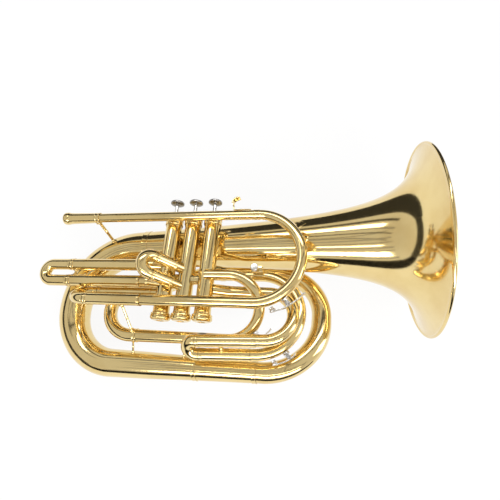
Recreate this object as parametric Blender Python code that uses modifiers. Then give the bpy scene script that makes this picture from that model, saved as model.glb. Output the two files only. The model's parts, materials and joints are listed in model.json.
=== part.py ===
"""Marching euphonium lying on its left side. Metres, +Z up.

The instrument is laid out as it is played: X runs to the bell, Y to the player's left and Z up the
valves, from the underside of valve 2. Everything hangs from one empty, which lays it on its side.
"""
import math

import bpy
import bmesh
from mathutils import Matrix, Vector

# Resting pose, in degrees: roll about the bell's direction, then pitch. It stands on the bell's rim
# and the left bow.
REST_ROLL = -95.035
REST_PITCH = -17.080

GAP = 0.0003                # running gap between neighbouring solids
SLANT_GAP = 0.0014          # the same under the flat foot of a brace that meets a tube at a slant
ARC_STEP = math.radians(22.5)
CURL = 8                    # points in one turn of a spring
STUB = 0.0020               # straight end of a bow, so that it meets its neighbour square

# Bell
BELL_TAIL = Vector((-0.080, 0.038, 0.115))
BELL_RIM = Vector((0.3126, 0.066, 0.1377))
RIM_RADIUS = 0.1335
FLARE_LENGTH = 0.0125       # how quickly the flare opens
FLARE_POWER = 0.445
BELL_CONE = -0.0055         # steady taper added to the flare
BELL_WALL = 0.0008
RIM_BEAD = 0.0022

# Tubing, outer radii and walls
TUBE_RADIUS = 0.0072
SLEEVE_RADIUS = 0.0081
SLEEVE_WALL = 0.0007
INNER_RADIUS = 0.0067
BOW_RADIUS = 0.0079
TUBE_WALL = 0.0008
LEADPIPE_RADIUS = 0.0064
FERRULE_WALL = 0.0012
RECEIVER_MOUTH = -0.1895
RECEIVER_END = -0.132
RECEIVER_RADIUS = 0.0078

# Valves
VALVE_PITCH = 0.0287
CASING_RADIUS = 0.0110
CASING_BORE = 0.0093
CASING_BOTTOM = 0.0033
CASING_TOP = 0.1410
CAP_RADIUS = 0.0137
CAP_HEIGHT = 0.0095
TOP_CAP_RADIUS = 0.0125
TOP_CAP_BOTTOM = 0.1350
TOP_CAP_TOP = 0.1495
PISTON_RADIUS = 0.0090
PISTON_BOTTOM = 0.0220
PISTON_TOP = 0.1200
STEM_RADIUS = 0.0026
BUTTON_RADIUS = 0.0098
BUTTON_BOTTOM = 0.1683
BUTTON_TOP = 0.1728
PORT_RADIUS = 0.0062
KNUCKLE_HEIGHT = 0.0565

# Planes and heights of the tubing
LEAD_Y = -0.024
LEAD_TOP = 0.139
LEAD_LOW = 0.0215
LEAD_BEND_X = 0.0979
RETURN_LEG = Vector((0.0, 0.005, 0.0385))
FIRST_Y = -0.010
FIRST_TOP = 0.0735
FIRST_LOW = 0.0500
BRANCH_Y = 0.042
BRANCH_LOW = -0.0542
BOW_LEFT = -0.1831          # leftmost point of the left bow's axis
BOW_BENDS = (0.0955, 0.0722)
BOW_RIGHT = 0.1766          # rightmost point of the right bow's axis
SPLIT_LEFT = 0.0120         # joints of the lower branch
SPLIT_RIGHT = 0.0980
UPPER_Y = 0.091
UPPER_Z = 0.0945
UPPER_TURN_Y = 0.031        # upper leg of the third slide's outer bow
OUTER_TURN_X = 0.0975       # where that bow starts to turn
FEED_LOOP_X = 0.061         # where the feed tube's loop starts to turn
FEED_TOP = Vector((0.030, -0.009, 0.0613))
INNER_LOW = Vector((-0.064, 0.014, -0.0185))    # ends of the inner left bow
INNER_TOP = Vector((-0.083, 0.030, 0.052))
INNER_LEFT = -0.116         # leftmost point of its axis
INNER_BENDS = (0.029, 0.041)


def clear_scene():
    for item in list(bpy.data.objects):
        bpy.data.objects.remove(item, do_unlink=True)


def new_collection(name):
    collection = bpy.data.collections.new(name)
    bpy.context.scene.collection.children.link(collection)
    return collection


def new_material(name, colour, roughness, metallic):
    material = bpy.data.materials.new(name)
    material.use_nodes = True
    shader = material.node_tree.nodes["Principled BSDF"]
    shader.inputs["Base Color"].default_value = (*colour, 1.0)
    shader.inputs["Roughness"].default_value = roughness
    shader.inputs["Metallic"].default_value = metallic
    return material


clear_scene()
PARTS = new_collection("marching_euphonium")
CUTTERS = new_collection("cutters")
BRASS = ("lacquered_brass", (0.78, 0.57, 0.22), 0.15, 1.0)
NICKEL = ("nickel_silver", (0.72, 0.71, 0.68), 0.2, 1.0)
STEEL = ("spring_steel", (0.55, 0.55, 0.56), 0.3, 1.0)

FRAME = bpy.data.objects.new("playing_position", None)
bpy.context.scene.collection.objects.link(FRAME)
FRAME.matrix_world = (Matrix.Rotation(math.radians(REST_PITCH), 4, "Y")
                      @ Matrix.Rotation(math.radians(REST_ROLL), 4, "X"))


def add_part(name, data, finish, parent=None):
    """Link a part under its parent empty, with a material of its own."""
    part = bpy.data.objects.new(name, data)
    PARTS.objects.link(part)
    data.materials.clear()
    data.materials.append(new_material(name, *finish[1:]))
    holder = parent or FRAME
    part.parent = holder
    if parent:
        part.matrix_parent_inverse = Matrix.Translation(parent.location).inverted()
    return part


def joint_empty(name, place):
    """An empty on a joint's axis, which carries the pieces that move with it."""
    empty = bpy.data.objects.new(name, None)
    bpy.context.scene.collection.objects.link(empty)
    empty.parent = FRAME
    empty.location = place
    return empty


def pipe_run(corners, *bends):
    """Points along straight runs with rounded corners, all to one bend radius or to one each."""
    corners = [Vector(corner) for corner in corners]
    bends = bends if len(bends) > 1 else bends * (len(corners) - 2)
    points = [corners[0]]
    for before, corner, after, bend_radius in zip(corners, corners[1:], corners[2:], bends):
        back = (before - corner).normalized()
        ahead = (after - corner).normalized()
        half = back.angle(ahead) / 2
        reach = bend_radius / math.tan(half)
        centre = corner + (back + ahead).normalized() * bend_radius / math.sin(half)
        start = corner + back * reach - centre
        end = corner + ahead * reach - centre
        sweep = start.angle(end)
        axis = start.cross(end).normalized()
        steps = max(2, math.ceil(sweep / ARC_STEP - 0.01))
        for i in range(steps + 1):
            point = centre + Matrix.Rotation(sweep * i / steps, 3, axis) @ start
            if (point - points[-1]).length > 1e-4:
                points.append(point)
    points.append(corners[-1])
    return points


def u_turn(start, across, out, legs):
    """A U of two parallel legs: from start, out along a direction, over by across, and back."""
    start, across, out = Vector(start), Vector(across), Vector(out).normalized()
    radius = across.length / 2
    far = start + out * (legs + radius)
    return pipe_run([start, far, far + across, start + across], radius * 0.9999)


def path_length(points):
    return sum((b - a).length for a, b in zip(points, points[1:]))


def stationed(points, stations):
    """Points with a radius each, from (distance, radius) stations; negative distances count back."""
    total = path_length(points)
    marks = sorted((s if s >= 0 else total + s, r) for s, r in stations)

    def radius_at(distance):
        if distance <= marks[0][0]:
            return marks[0][1]
        for (s0, r0), (s1, r1) in zip(marks, marks[1:]):
            if distance <= s1:
                return r0 + (r1 - r0) * (distance - s0) / (s1 - s0)
        return marks[-1][1]

    result = []
    walked = 0.0
    for a, b in zip(points, points[1:]):
        span = (b - a).length
        result.append((a, radius_at(walked)))
        for s, r in marks:
            if walked + 1e-4 < s < walked + span - 1e-4:
                result.append((a.lerp(b, (s - walked) / span), r))
        walked += span
    result.append((points[-1], radius_at(total)))
    return result


def pipe_curve(name, run, sides, capped):
    """A curve whose one poly spline follows a run of (point, radius) pairs."""
    curve = bpy.data.curves.new(name, "CURVE")
    curve.dimensions = "3D"
    curve.bevel_depth = 1.0
    curve.bevel_resolution = (sides - 4) // 2
    curve.use_fill_caps = capped
    spline = curve.splines.new("POLY")
    spline.points.add(len(run) - 1)
    for knot, (place, radius) in zip(spline.points, run):
        knot.co = (*place, 1.0)
        knot.radius = radius
    return curve


def hollow(part, wall):
    shell = part.modifiers.new("wall", "SOLIDIFY")
    shell.thickness = wall
    shell.offset = -1.0


def tube(name, run, wall=TUBE_WALL, sides=8, finish=BRASS, parent=None):
    """A hollow tube along a run of (point, radius) pairs."""
    part = add_part(name, pipe_curve(name, run, sides, False), finish, parent)
    hollow(part, wall)
    return part


def rod(name, run, sides=8, finish=NICKEL, parent=None):
    """A solid bar along a run of (point, radius) pairs."""
    return add_part(name, pipe_curve(name, run, sides, True), finish, parent)


def even(points, radius):
    return [(Vector(point), radius) for point in points]


def as_mesh(part):
    """The part with its modifiers applied, as a welded mesh object of the same name and place."""
    bpy.context.view_layer.update()
    graph = bpy.context.evaluated_depsgraph_get()
    mesh = bpy.data.meshes.new_from_object(part.evaluated_get(graph))
    work = bmesh.new()
    work.from_mesh(mesh)
    bmesh.ops.remove_doubles(work, verts=work.verts, dist=1e-5)
    work.to_mesh(mesh)
    work.free()
    name, parent, inverse = part.name, part.parent, part.matrix_parent_inverse.copy()
    matrix = part.matrix_basis.copy()
    bpy.data.objects.remove(part, do_unlink=True)
    solid = bpy.data.objects.new(name, mesh)
    PARTS.objects.link(solid)
    solid.parent = parent
    solid.matrix_parent_inverse = inverse
    solid.matrix_basis = matrix
    return solid


def turn_to(axis):
    return Vector((0, 0, 1)).rotation_difference(Vector(axis)).to_matrix().to_4x4()


def turned(name, profile, place, axis=(0, 0, 1), steps=14, finish=BRASS, parent=None, closed=False):
    """A turned piece: (radius, height) points down the outer side, about an axis through a place."""
    mesh = bpy.data.meshes.new(name)
    points = [(radius, 0.0, height) for radius, height in profile]
    edges = [(i, i + 1) for i in range(len(points) - 1)]
    if closed:
        edges.append((len(points) - 1, 0))
    mesh.from_pydata(points, edges, [])
    part = add_part(name, mesh, finish, parent)
    part.matrix_basis = Matrix.Translation(place) @ turn_to(axis)
    screw = part.modifiers.new("turn", "SCREW")
    screw.steps = steps
    screw.render_steps = steps
    screw.use_merge_vertices = True
    screw.merge_threshold = 0.00001
    return part


def ring_profile(outer, inner, low, high):
    """Closed section of a plain ring, outer side first, top to bottom."""
    return [(outer, high), (outer, low), (inner, low), (inner, high)]


def rod_cutter(name, start, end, radius, sides=16):
    """A hidden round cutter between two points."""
    start, end = Vector(start), Vector(end)
    mesh = bpy.data.meshes.new(name)
    work = bmesh.new()
    bmesh.ops.create_cone(work, cap_ends=True, segments=sides, radius1=radius, radius2=radius,
                          depth=(end - start).length)
    work.to_mesh(mesh)
    work.free()
    cutter = bpy.data.objects.new(name, mesh)
    CUTTERS.objects.link(cutter)
    cutter.parent = FRAME
    cutter.matrix_basis = Matrix.Translation((start + end) / 2) @ turn_to(end - start)
    cutter.hide_render = True
    cutter.display_type = "WIRE"
    return cutter


def boolean(part, other, operation="DIFFERENCE"):
    step = part.modifiers.new(operation.lower(), "BOOLEAN")
    step.operation = operation
    step.object = other
    step.solver = "EXACT"


def bell_radius(distance):
    """Outer radius of the bell at a distance back from its rim."""
    flare = RIM_RADIUS * (1 + distance / FLARE_LENGTH) ** -FLARE_POWER
    return flare + BELL_CONE * distance


def make_bell():
    length = (BELL_RIM - BELL_TAIL).length
    rings = 12
    reach = [length * (i / rings) ** 2.4 for i in range(rings + 1)]
    outer = [(bell_radius(d), length - d) for d in reach]
    bead = []
    for i in range(5):
        turn = math.radians(-170 + 77.5 * i)
        bead.append((RIM_RADIUS - RIM_BEAD + RIM_BEAD * math.cos(turn),
                     length - RIM_BEAD * math.sin(turn)))
    outside = [point for point in outer if length - point[1] > 2 * RIM_BEAD]
    inside = []
    for radius, height in reversed(outside):
        step = 0.0005
        rise = bell_radius(length - height) - bell_radius(length - height + step)
        slant = math.hypot(step, rise)
        inside.append((radius - BELL_WALL * step / slant, height + BELL_WALL * rise / slant))
    turned("bell", bead + outside + inside, BELL_TAIL, BELL_RIM - BELL_TAIL, 28, closed=True)
    return length


def make_branch(bell_length):
    """The conical branch from the bell's tail back to the cylindrical tubing."""
    tail_radius = bell_radius(bell_length)
    direction = (BELL_RIM - BELL_TAIL).normalized()
    tail = BELL_TAIL - direction * GAP
    knee = tail + direction * ((BOW_LEFT - tail.x) / direction.x)
    left = pipe_run([tail, knee, (BOW_LEFT, BRANCH_Y, BRANCH_LOW),
                     (SPLIT_LEFT - GAP, BRANCH_Y, BRANCH_LOW)], *BOW_BENDS)
    tube("left_bow", stationed(left, [
        (0, tail_radius), (0.165, 0.0218), (0.205, 0.0204), (0.255, 0.0194),
        (-0.065, 0.0180), (-0.0001, 0.0158)]), 0.0009, 16)
    lower = [Vector((SPLIT_LEFT, BRANCH_Y, BRANCH_LOW)), Vector((SPLIT_RIGHT, BRANCH_Y, BRANCH_LOW))]
    left_ring, right_ring, upper_ring = [r + FERRULE_WALL for r in (0.0158, 0.0138, 0.0120)]
    tube("lower_branch", stationed(lower, [
        (0, left_ring), (0.0055, left_ring), (0.0062, 0.0155), (-0.0062, 0.0138),
        (-0.0055, right_ring), (-0.0001, right_ring)]), 0.0018, 12)
    start = Vector((SPLIT_RIGHT + GAP, BRANCH_Y, BRANCH_LOW))
    across = Vector((0, UPPER_Y - BRANCH_Y, UPPER_Z - BRANCH_LOW))
    far = Vector((BOW_RIGHT, start.y, start.z))
    right = pipe_run([start, far, far + across, start + across], 0.0735)
    tube("right_bow", stationed(right, [(0, 0.0138), (0.10, 0.0138), (-0.0001, 0.0121)]), 0.0009, 12)
    upper_end = start + across
    upper_start = Vector((0.020, UPPER_Y, UPPER_Z))
    upper = [upper_end - Vector((GAP, 0, 0)), upper_start]
    tube("upper_branch", stationed(upper, [(0, 0.0121), (-0.0062, 0.0120), (-0.0055, upper_ring),
                                           (-0.0001, upper_ring)]), 0.0018, 12)
    rise = pipe_run([INNER_TOP + Vector((GAP, 0, 0)), (-0.050, INNER_TOP.y, INNER_TOP.z),
                     (-0.002, UPPER_Y, UPPER_Z), upper_start - Vector((GAP, 0, 0))], 0.034)
    tube("rising_branch", stationed(rise, [(0, 0.0100), (-0.0001, 0.0120)]), TUBE_WALL, 12)
    bow = pipe_run([INNER_TOP, (INNER_LEFT, INNER_TOP.y, INNER_TOP.z),
                    (INNER_LEFT, INNER_LOW.y, INNER_LOW.z), INNER_LOW], *INNER_BENDS)
    tube("inner_left_bow", stationed(bow, [(0, 0.0100), (-0.0001, 0.0086)]), TUBE_WALL, 12)
    loop_top = Vector((FEED_LOOP_X, FEED_TOP.y, FEED_TOP.z))
    loop = u_turn(loop_top, Vector((FEED_LOOP_X, INNER_LOW.y, INNER_LOW.z)) - loop_top, (1, 0, 0), 0.0)
    feed = [FEED_TOP] + loop + [INNER_LOW + Vector((GAP, 0, 0))]
    feed_tube = tube("feed_tube", stationed(feed, [(0, TUBE_RADIUS), (-0.14, TUBE_RADIUS),
                                                   (-0.0001, 0.0085)]))
    cut_by_casings(feed_tube, [3])
    ring = tail_radius + 2 * GAP
    turned("bell_tail_ferrule", ring_profile(ring + FERRULE_WALL, ring, -0.004, 0.004), BELL_TAIL,
           BELL_RIM - BELL_TAIL, 20, closed=True)


def casing_axis(number):
    return (number - 2) * VALVE_PITCH


def cut_by_casings(part, numbers):
    """Turn a tube into a mesh and cut it back to the faces of the casings that it meets."""
    solid = as_mesh(part)
    for number in numbers:
        x = casing_axis(number)
        cutter = rod_cutter(f"{solid.name}_seat_{number}", (x, 0, -0.02), (x, 0, 0.16),
                            CASING_RADIUS + GAP, 24)
        boolean(solid, cutter)
    return solid


def make_leadpipe():
    bore, mouth, seat = 0.0056, 0.0088, LEADPIPE_RADIUS + GAP
    length = RECEIVER_END - RECEIVER_MOUTH
    profile = [(seat, length), (RECEIVER_RADIUS, length), (RECEIVER_RADIUS, length - 0.004),
               (0.0074, length - 0.005), (0.0080, 0.012), (0.0083, 0.009), (mouth, 0.007),
               (mouth + 0.0002, 0.004), (mouth - 0.0006, 0.001), (mouth - 0.0020, 0.0), (0.0062, 0.0),
               (bore, 0.004), (bore, length - 0.014), (seat, length - 0.013)]
    turned("mouthpiece_receiver", profile, (RECEIVER_MOUTH, LEAD_Y, LEAD_TOP), (1, 0, 0), 14,
           closed=True)
    start = Vector((RECEIVER_END - 0.012, LEAD_Y, LEAD_TOP))
    stop = Vector((LEAD_BEND_X - STUB, LEAD_Y, LEAD_TOP))
    tube("leadpipe", even([start, stop - Vector((GAP, 0, 0))], LEADPIPE_RADIUS))
    drop = Vector((0, 0, LEAD_LOW - LEAD_TOP))
    bend = u_turn(stop, drop, (1, 0, 0), STUB)
    tube("leadpipe_bend", stationed(bend, [(0, LEADPIPE_RADIUS), (0.06, 0.0069),
                                           (-0.0001, TUBE_RADIUS)]))
    sleeve_end = -0.0480
    tube("lower_leadpipe_leg", even([stop + drop - Vector((GAP, 0, 0)),
                                     (sleeve_end + GAP, LEAD_Y, LEAD_LOW)], TUBE_RADIUS))


def hide(solid):
    """Keep a solid only as a tool for a Boolean."""
    PARTS.objects.unlink(solid)
    CUTTERS.objects.link(solid)
    solid.hide_render = True
    solid.display_type = "WIRE"
    return solid


def sleeve(name, knuckle, valve_end, open_end, casing=None):
    """An outer slide sleeve with a bead at its open end, and the knuckle that leads to a valve."""
    knuckle = [Vector(point) for point in knuckle]
    valve_end, open_end = Vector(valve_end), Vector(open_end)
    before = path_length(knuckle + [valve_end]) if knuckle else 0.0
    total = before + (open_end - valve_end).length
    stations = [(total - 0.0050, SLEEVE_RADIUS), (total - 0.0044, SLEEVE_RADIUS + 0.0006),
                (total, SLEEVE_RADIUS + 0.0006)]
    if knuckle:
        stations += [(0, TUBE_RADIUS), (before, TUBE_RADIUS), (before + 0.0008, SLEEVE_RADIUS)]
    else:
        stations += [(0, SLEEVE_RADIUS + 0.0005), (0.0040, SLEEVE_RADIUS + 0.0005),
                     (0.0045, SLEEVE_RADIUS)]
    part = tube(name, stationed(knuckle + [valve_end, open_end], stations), SLEEVE_WALL)
    return cut_by_casings(part, [casing]) if casing else part


def post_profile(length, radius):
    """Outline of a turned brace post with a foot at each end, outer side, top to bottom."""
    foot = radius + 0.0024
    return [(0.0, length), (foot, length), (foot, length - 0.0012), (radius * 1.2, length - 0.0030),
            (radius, length / 2), (radius * 1.2, 0.0030), (foot, 0.0012), (foot, 0.0), (0.0, 0.0)]


def post(name, start, start_radius, end, end_radius, radius=0.0017, bite=-GAP):
    """A brace post between two tubes, given by points on their axes and their outer radii.

    Its feet sink into the tubes by bite, or stand clear of them where bite is negative.
    """
    start, end = Vector(start), Vector(end)
    way = (end - start).normalized()
    foot = start + way * (start_radius - bite)
    length = (end - start).length - start_radius - end_radius + 2 * bite
    return turned(name, post_profile(length, radius), foot, way, 10)


def fuse(solid, *others):
    """Join other solids to one, as soldered together."""
    for other in others:
        boolean(solid, hide(other), "UNION")
    return solid


def crook(name, start, across, out, legs_in, legs_out, parent, bow_radius=BOW_RADIUS):
    """A slide crook: inner legs that run in the sleeves, and a wider bow outside them."""
    start, across, out = Vector(start), Vector(across), Vector(out).normalized()
    points = u_turn(start - out * legs_in, across, out, legs_in + legs_out)
    shoulder = legs_in + 2 * GAP
    stations = [(0, INNER_RADIUS), (shoulder, INNER_RADIUS), (shoulder + 0.0012, bow_radius),
                (-shoulder - 0.0012, bow_radius), (-shoulder, INNER_RADIUS), (-0.0001, INNER_RADIUS)]
    return tube(name, stationed(points, stations), TUBE_WALL, parent=parent)


def make_main_slide():
    open_end, root = -0.1285, -0.0480
    low = Vector((open_end, LEAD_Y, LEAD_LOW))
    back = Vector((open_end, RETURN_LEG.y, RETURN_LEG.z))
    sleeve("main_slide_lower_sleeve", [], (root, low.y, low.z), low)
    sleeve("main_slide_return_sleeve", [(casing_axis(1), back.y, back.z)], (root, back.y, back.z), back, 1)
    pull = joint_empty("main_slide_pull", low)
    crook("main_slide_crook", low, back - low, (-1, 0, 0), 0.064, 0.006, pull)


def make_first_slide():
    open_end, root = -0.170, -0.060
    top = Vector((open_end, FIRST_Y, FIRST_TOP))
    low = Vector((open_end, FIRST_Y, FIRST_LOW))
    x = casing_axis(1)
    upper_knuckle = pipe_run([(x, -0.001, top.z + 0.002), (-0.050, top.y, top.z),
                              (root, top.y, top.z)], 0.012)[:-1]
    lower_knuckle = pipe_run([(x, -0.003, low.z - 0.001), (-0.050, low.y, low.z),
                              (root, low.y, low.z)], 0.012)[:-1]
    upper = sleeve("first_slide_sleeves", upper_knuckle, (root, top.y, top.z), top, 1)
    lower = sleeve("first_slide_lower", lower_knuckle, (root, low.y, low.z), low, 1)
    stay_x = open_end + 0.007
    stay = post("first_slide_stay", (stay_x, top.y, top.z), SLEEVE_RADIUS, (stay_x, low.y, low.z),
                SLEEVE_RADIUS, 0.0016, 0.0004)
    fuse(upper, stay, lower)
    pull = joint_empty("first_slide_pull", top)
    crook("first_slide_crook", top, low - top, (-1, 0, 0), 0.088, 0.030, pull)


def make_second_slide():
    out = Vector((-0.62, -0.77, 0.13)).normalized()
    top = Vector((0.0, 0.0, 0.0690))
    drop = Vector((0.0, 0.0, -0.0243))
    drop = drop - out * drop.dot(out)
    stub, reach = 0.019, 0.049
    upper = sleeve("second_slide_sleeves", [top], top + out * stub, top + out * reach, 2)
    base = top + drop
    lower = sleeve("second_slide_lower", [base], base + out * stub, base + out * reach, 2)
    stay_at = out * (stub + 0.010)
    stay = post("second_slide_stay", top + stay_at, SLEEVE_RADIUS, base + stay_at, SLEEVE_RADIUS, 0.0016,
                0.0004)
    fuse(upper, stay, lower)
    pull = joint_empty("second_slide_pull", top + out * reach)
    crook("second_slide_crook", top + out * reach, drop, out, 0.027, 0.003, pull)


def make_third_slide():
    lean = Vector((1.0, 0.0, 0.042)).normalized()
    one = Vector((0.103, -0.006, -0.0210))
    two = Vector((0.094, 0.012, -0.0360))
    one_end = one - lean * 0.076
    across = two - one
    across -= lean * across.dot(lean)
    two_end = one_end + across
    upper = sleeve("third_slide_sleeves", [], one, one_end)
    lower = sleeve("third_slide_lower", [], two, two_end)
    stay_at = lean * 0.030
    stay = post("third_slide_stay", one_end + stay_at, SLEEVE_RADIUS, two_end + stay_at, SLEEVE_RADIUS,
                0.0016, 0.0004)
    fuse(as_mesh(upper), as_mesh(stay), as_mesh(lower))
    pull = joint_empty("third_slide_pull", one_end)
    crook("third_slide_crook", one_end, across, -lean, 0.060, 0.003, pull)
    x = casing_axis(3)
    inner_low, inner_top = Vector((0.112, -0.006, -0.0206)), Vector((0.112, 0.014, 0.0435))
    inner = u_turn(inner_low, inner_top - inner_low, (1, 0, 0), 0.0)
    inner_run = [one + lean * GAP] + inner[:-1] + pipe_run(
        [inner_top, (0.060, inner_top.y, 0.0445), (x, 0.003, 0.0450)], 0.016)
    outer_low = Vector((OUTER_TURN_X, 0.012, -0.0357))
    outer_top = Vector((OUTER_TURN_X, UPPER_TURN_Y, 0.0720))
    outer = u_turn(outer_low, outer_top - outer_low, (1, 0, 0), 0.0)
    outer_run = [two + lean * GAP] + outer[:-1] + pipe_run(
        [outer_top, (0.066, outer_top.y, outer_top.z), (x, 0.004, outer_top.z)], 0.016)
    for name, run in (("third_slide_inner_bow", inner_run), ("third_slide_outer_bow", outer_run)):
        cut_by_casings(tube(name, even(run, BOW_RADIUS - 0.0002)), [3])


def valve_ports(number):
    """Bores through a casing, each from its axis outwards."""
    x = casing_axis(number)
    ports = {
        1: [((-1, RETURN_LEG.y / 0.02, 0), RETURN_LEG.z), ((-1, -0.10, 0), FIRST_TOP + 0.002),
            ((-1, -0.2, 0), FIRST_LOW - 0.001), ((1, 0, 0), KNUCKLE_HEIGHT)],
        2: [((-1, 0, 0), KNUCKLE_HEIGHT), ((1, 0, 0), KNUCKLE_HEIGHT),
            ((-0.62, -0.77, 0), 0.0705), ((-0.62, -0.77, 0), 0.0470)],
        3: [((-1, 0, 0), KNUCKLE_HEIGHT), ((0.7, -0.7, 0), 0.0613), ((1, 0.3, 0), 0.0450),
            ((0.9, 0.5, 0), 0.0720)],
    }
    return [(Vector((x, 0, height)), Vector(way).normalized()) for way, height in ports[number]]


def make_valve(number):
    x = casing_axis(number)
    casing = turned(f"valve_casing_{number}", ring_profile(CASING_RADIUS, CASING_BORE, CASING_BOTTOM,
                                                          CASING_TOP), (x, 0, 0), closed=True)
    for i, (centre, way) in enumerate(valve_ports(number)):
        boolean(casing, rod_cutter(f"casing_port_{number}_{i}", centre + way * 0.004,
                                   centre + way * 0.016, PORT_RADIUS, 8))
    bore = CASING_RADIUS + GAP
    turned(f"bottom_cap_{number}", [
        (0.0, 0.0018), (bore, 0.0018), (bore, CAP_HEIGHT), (CAP_RADIUS - 0.0006, CAP_HEIGHT),
        (CAP_RADIUS, CAP_HEIGHT - 0.0006), (CAP_RADIUS, 0.0020), (CAP_RADIUS - 0.0020, 0.0),
        (0.0050, 0.0), (0.0040, 0.0008), (0.0, 0.0008)], (x, 0, 0))
    stem_hole = STEM_RADIUS + 0.0005
    turned(f"top_cap_{number}", [
        (stem_hole, TOP_CAP_TOP), (0.0075, TOP_CAP_TOP), (0.0085, TOP_CAP_TOP - 0.0025),
        (TOP_CAP_RADIUS - 0.0004, TOP_CAP_TOP - 0.0035), (TOP_CAP_RADIUS, TOP_CAP_TOP - 0.0045),
        (TOP_CAP_RADIUS, TOP_CAP_BOTTOM), (bore, TOP_CAP_BOTTOM), (bore, CASING_TOP + GAP),
        (stem_hole, CASING_TOP + GAP)], (x, 0, 0), closed=True)
    press = joint_empty(f"valve_{number}_press", (x, 0, BUTTON_TOP))
    piston = turned(f"piston_{number}", [
        (0.0, BUTTON_BOTTOM - GAP), (STEM_RADIUS, BUTTON_BOTTOM - GAP), (STEM_RADIUS, PISTON_TOP + 0.012),
        (0.0050, PISTON_TOP + 0.010), (0.0050, PISTON_TOP), (PISTON_RADIUS, PISTON_TOP),
        (PISTON_RADIUS, PISTON_BOTTOM), (0.0070, PISTON_BOTTOM), (0.0070, PISTON_BOTTOM + 0.007),
        (0.0, PISTON_BOTTOM + 0.007)], (x, 0, 0), parent=press)
    for i, (centre, way) in enumerate(valve_ports(number)[:2]):
        reach = way * 0.02
        boolean(piston, rod_cutter(f"piston_port_{number}_{i}", centre - reach, centre + reach,
                                   PORT_RADIUS - 0.0004, 8))
    turned(f"finger_button_{number}", [
        (0.0, BUTTON_TOP - 0.0007), (0.0080, BUTTON_TOP - 0.0007), (0.0084, BUTTON_TOP),
        (BUTTON_RADIUS - 0.0004, BUTTON_TOP), (BUTTON_RADIUS, BUTTON_TOP - 0.0006),
        (BUTTON_RADIUS, BUTTON_TOP - 0.0022), (0.0050, BUTTON_BOTTOM), (0.0, BUTTON_BOTTOM)],
        (x, 0, 0), finish=NICKEL, parent=press)
    spring_low, spring_high = 0.0026, PISTON_BOTTOM + 0.0062
    turns, wire = 4, 0.0006
    coil = helix((x, 0, spring_low), (0, 0, 1), (1, 0, 0), 0.0058, (spring_high - spring_low) / turns,
                 turns)
    report_gap(f"valve {number}", coil, wire)
    rod(f"valve_spring_{number}", even(coil, wire), 6, STEEL)


def make_crossovers():
    """Short tubes that join each casing to the next."""
    for n in (1, 2):
        run = even([(casing_axis(n), 0, KNUCKLE_HEIGHT), (casing_axis(n + 1), 0, KNUCKLE_HEIGHT)],
                   TUBE_RADIUS)
        cut_by_casings(tube(f"valve_crossover_{n}", run), [n, n + 1])


def helix(centre, axis, side, radius, pitch, turns, curl=CURL):
    """Points along a helix about an axis, starting at a side direction."""
    centre, axis = Vector(centre), Vector(axis).normalized()
    side = Vector(side).normalized()
    return [centre + axis * (pitch * i / curl)
            + Matrix.Rotation(2 * math.pi * i / curl, 3, axis) @ side * radius
            for i in range(int(turns * curl) + 1)]


def least_gap(points, wire, curl=CURL):
    """Least clear distance between turns of a wound wire, checked on its points."""
    return min((a - b).length for i, a in enumerate(points) for b in points[i + curl // 2:]) - 2 * wire


def report_gap(name, coil, wire):
    print(name, "spring turns clear each other by", round(least_gap(coil, wire) * 1000, 2), "mm")


def box(name, centre, size, axes, finish=BRASS, parent=None):
    """A box of a size along three axes, centred on a place."""
    mesh = bpy.data.meshes.new(name)
    work = bmesh.new()
    bmesh.ops.create_cube(work, size=1.0)
    bmesh.ops.scale(work, verts=work.verts, vec=size)
    work.to_mesh(mesh)
    work.free()
    part = add_part(name, mesh, finish, parent)
    turn = Matrix([Vector(axis).normalized() for axis in axes]).transposed().to_4x4()
    part.matrix_basis = Matrix.Translation(centre) @ turn
    return part


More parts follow.
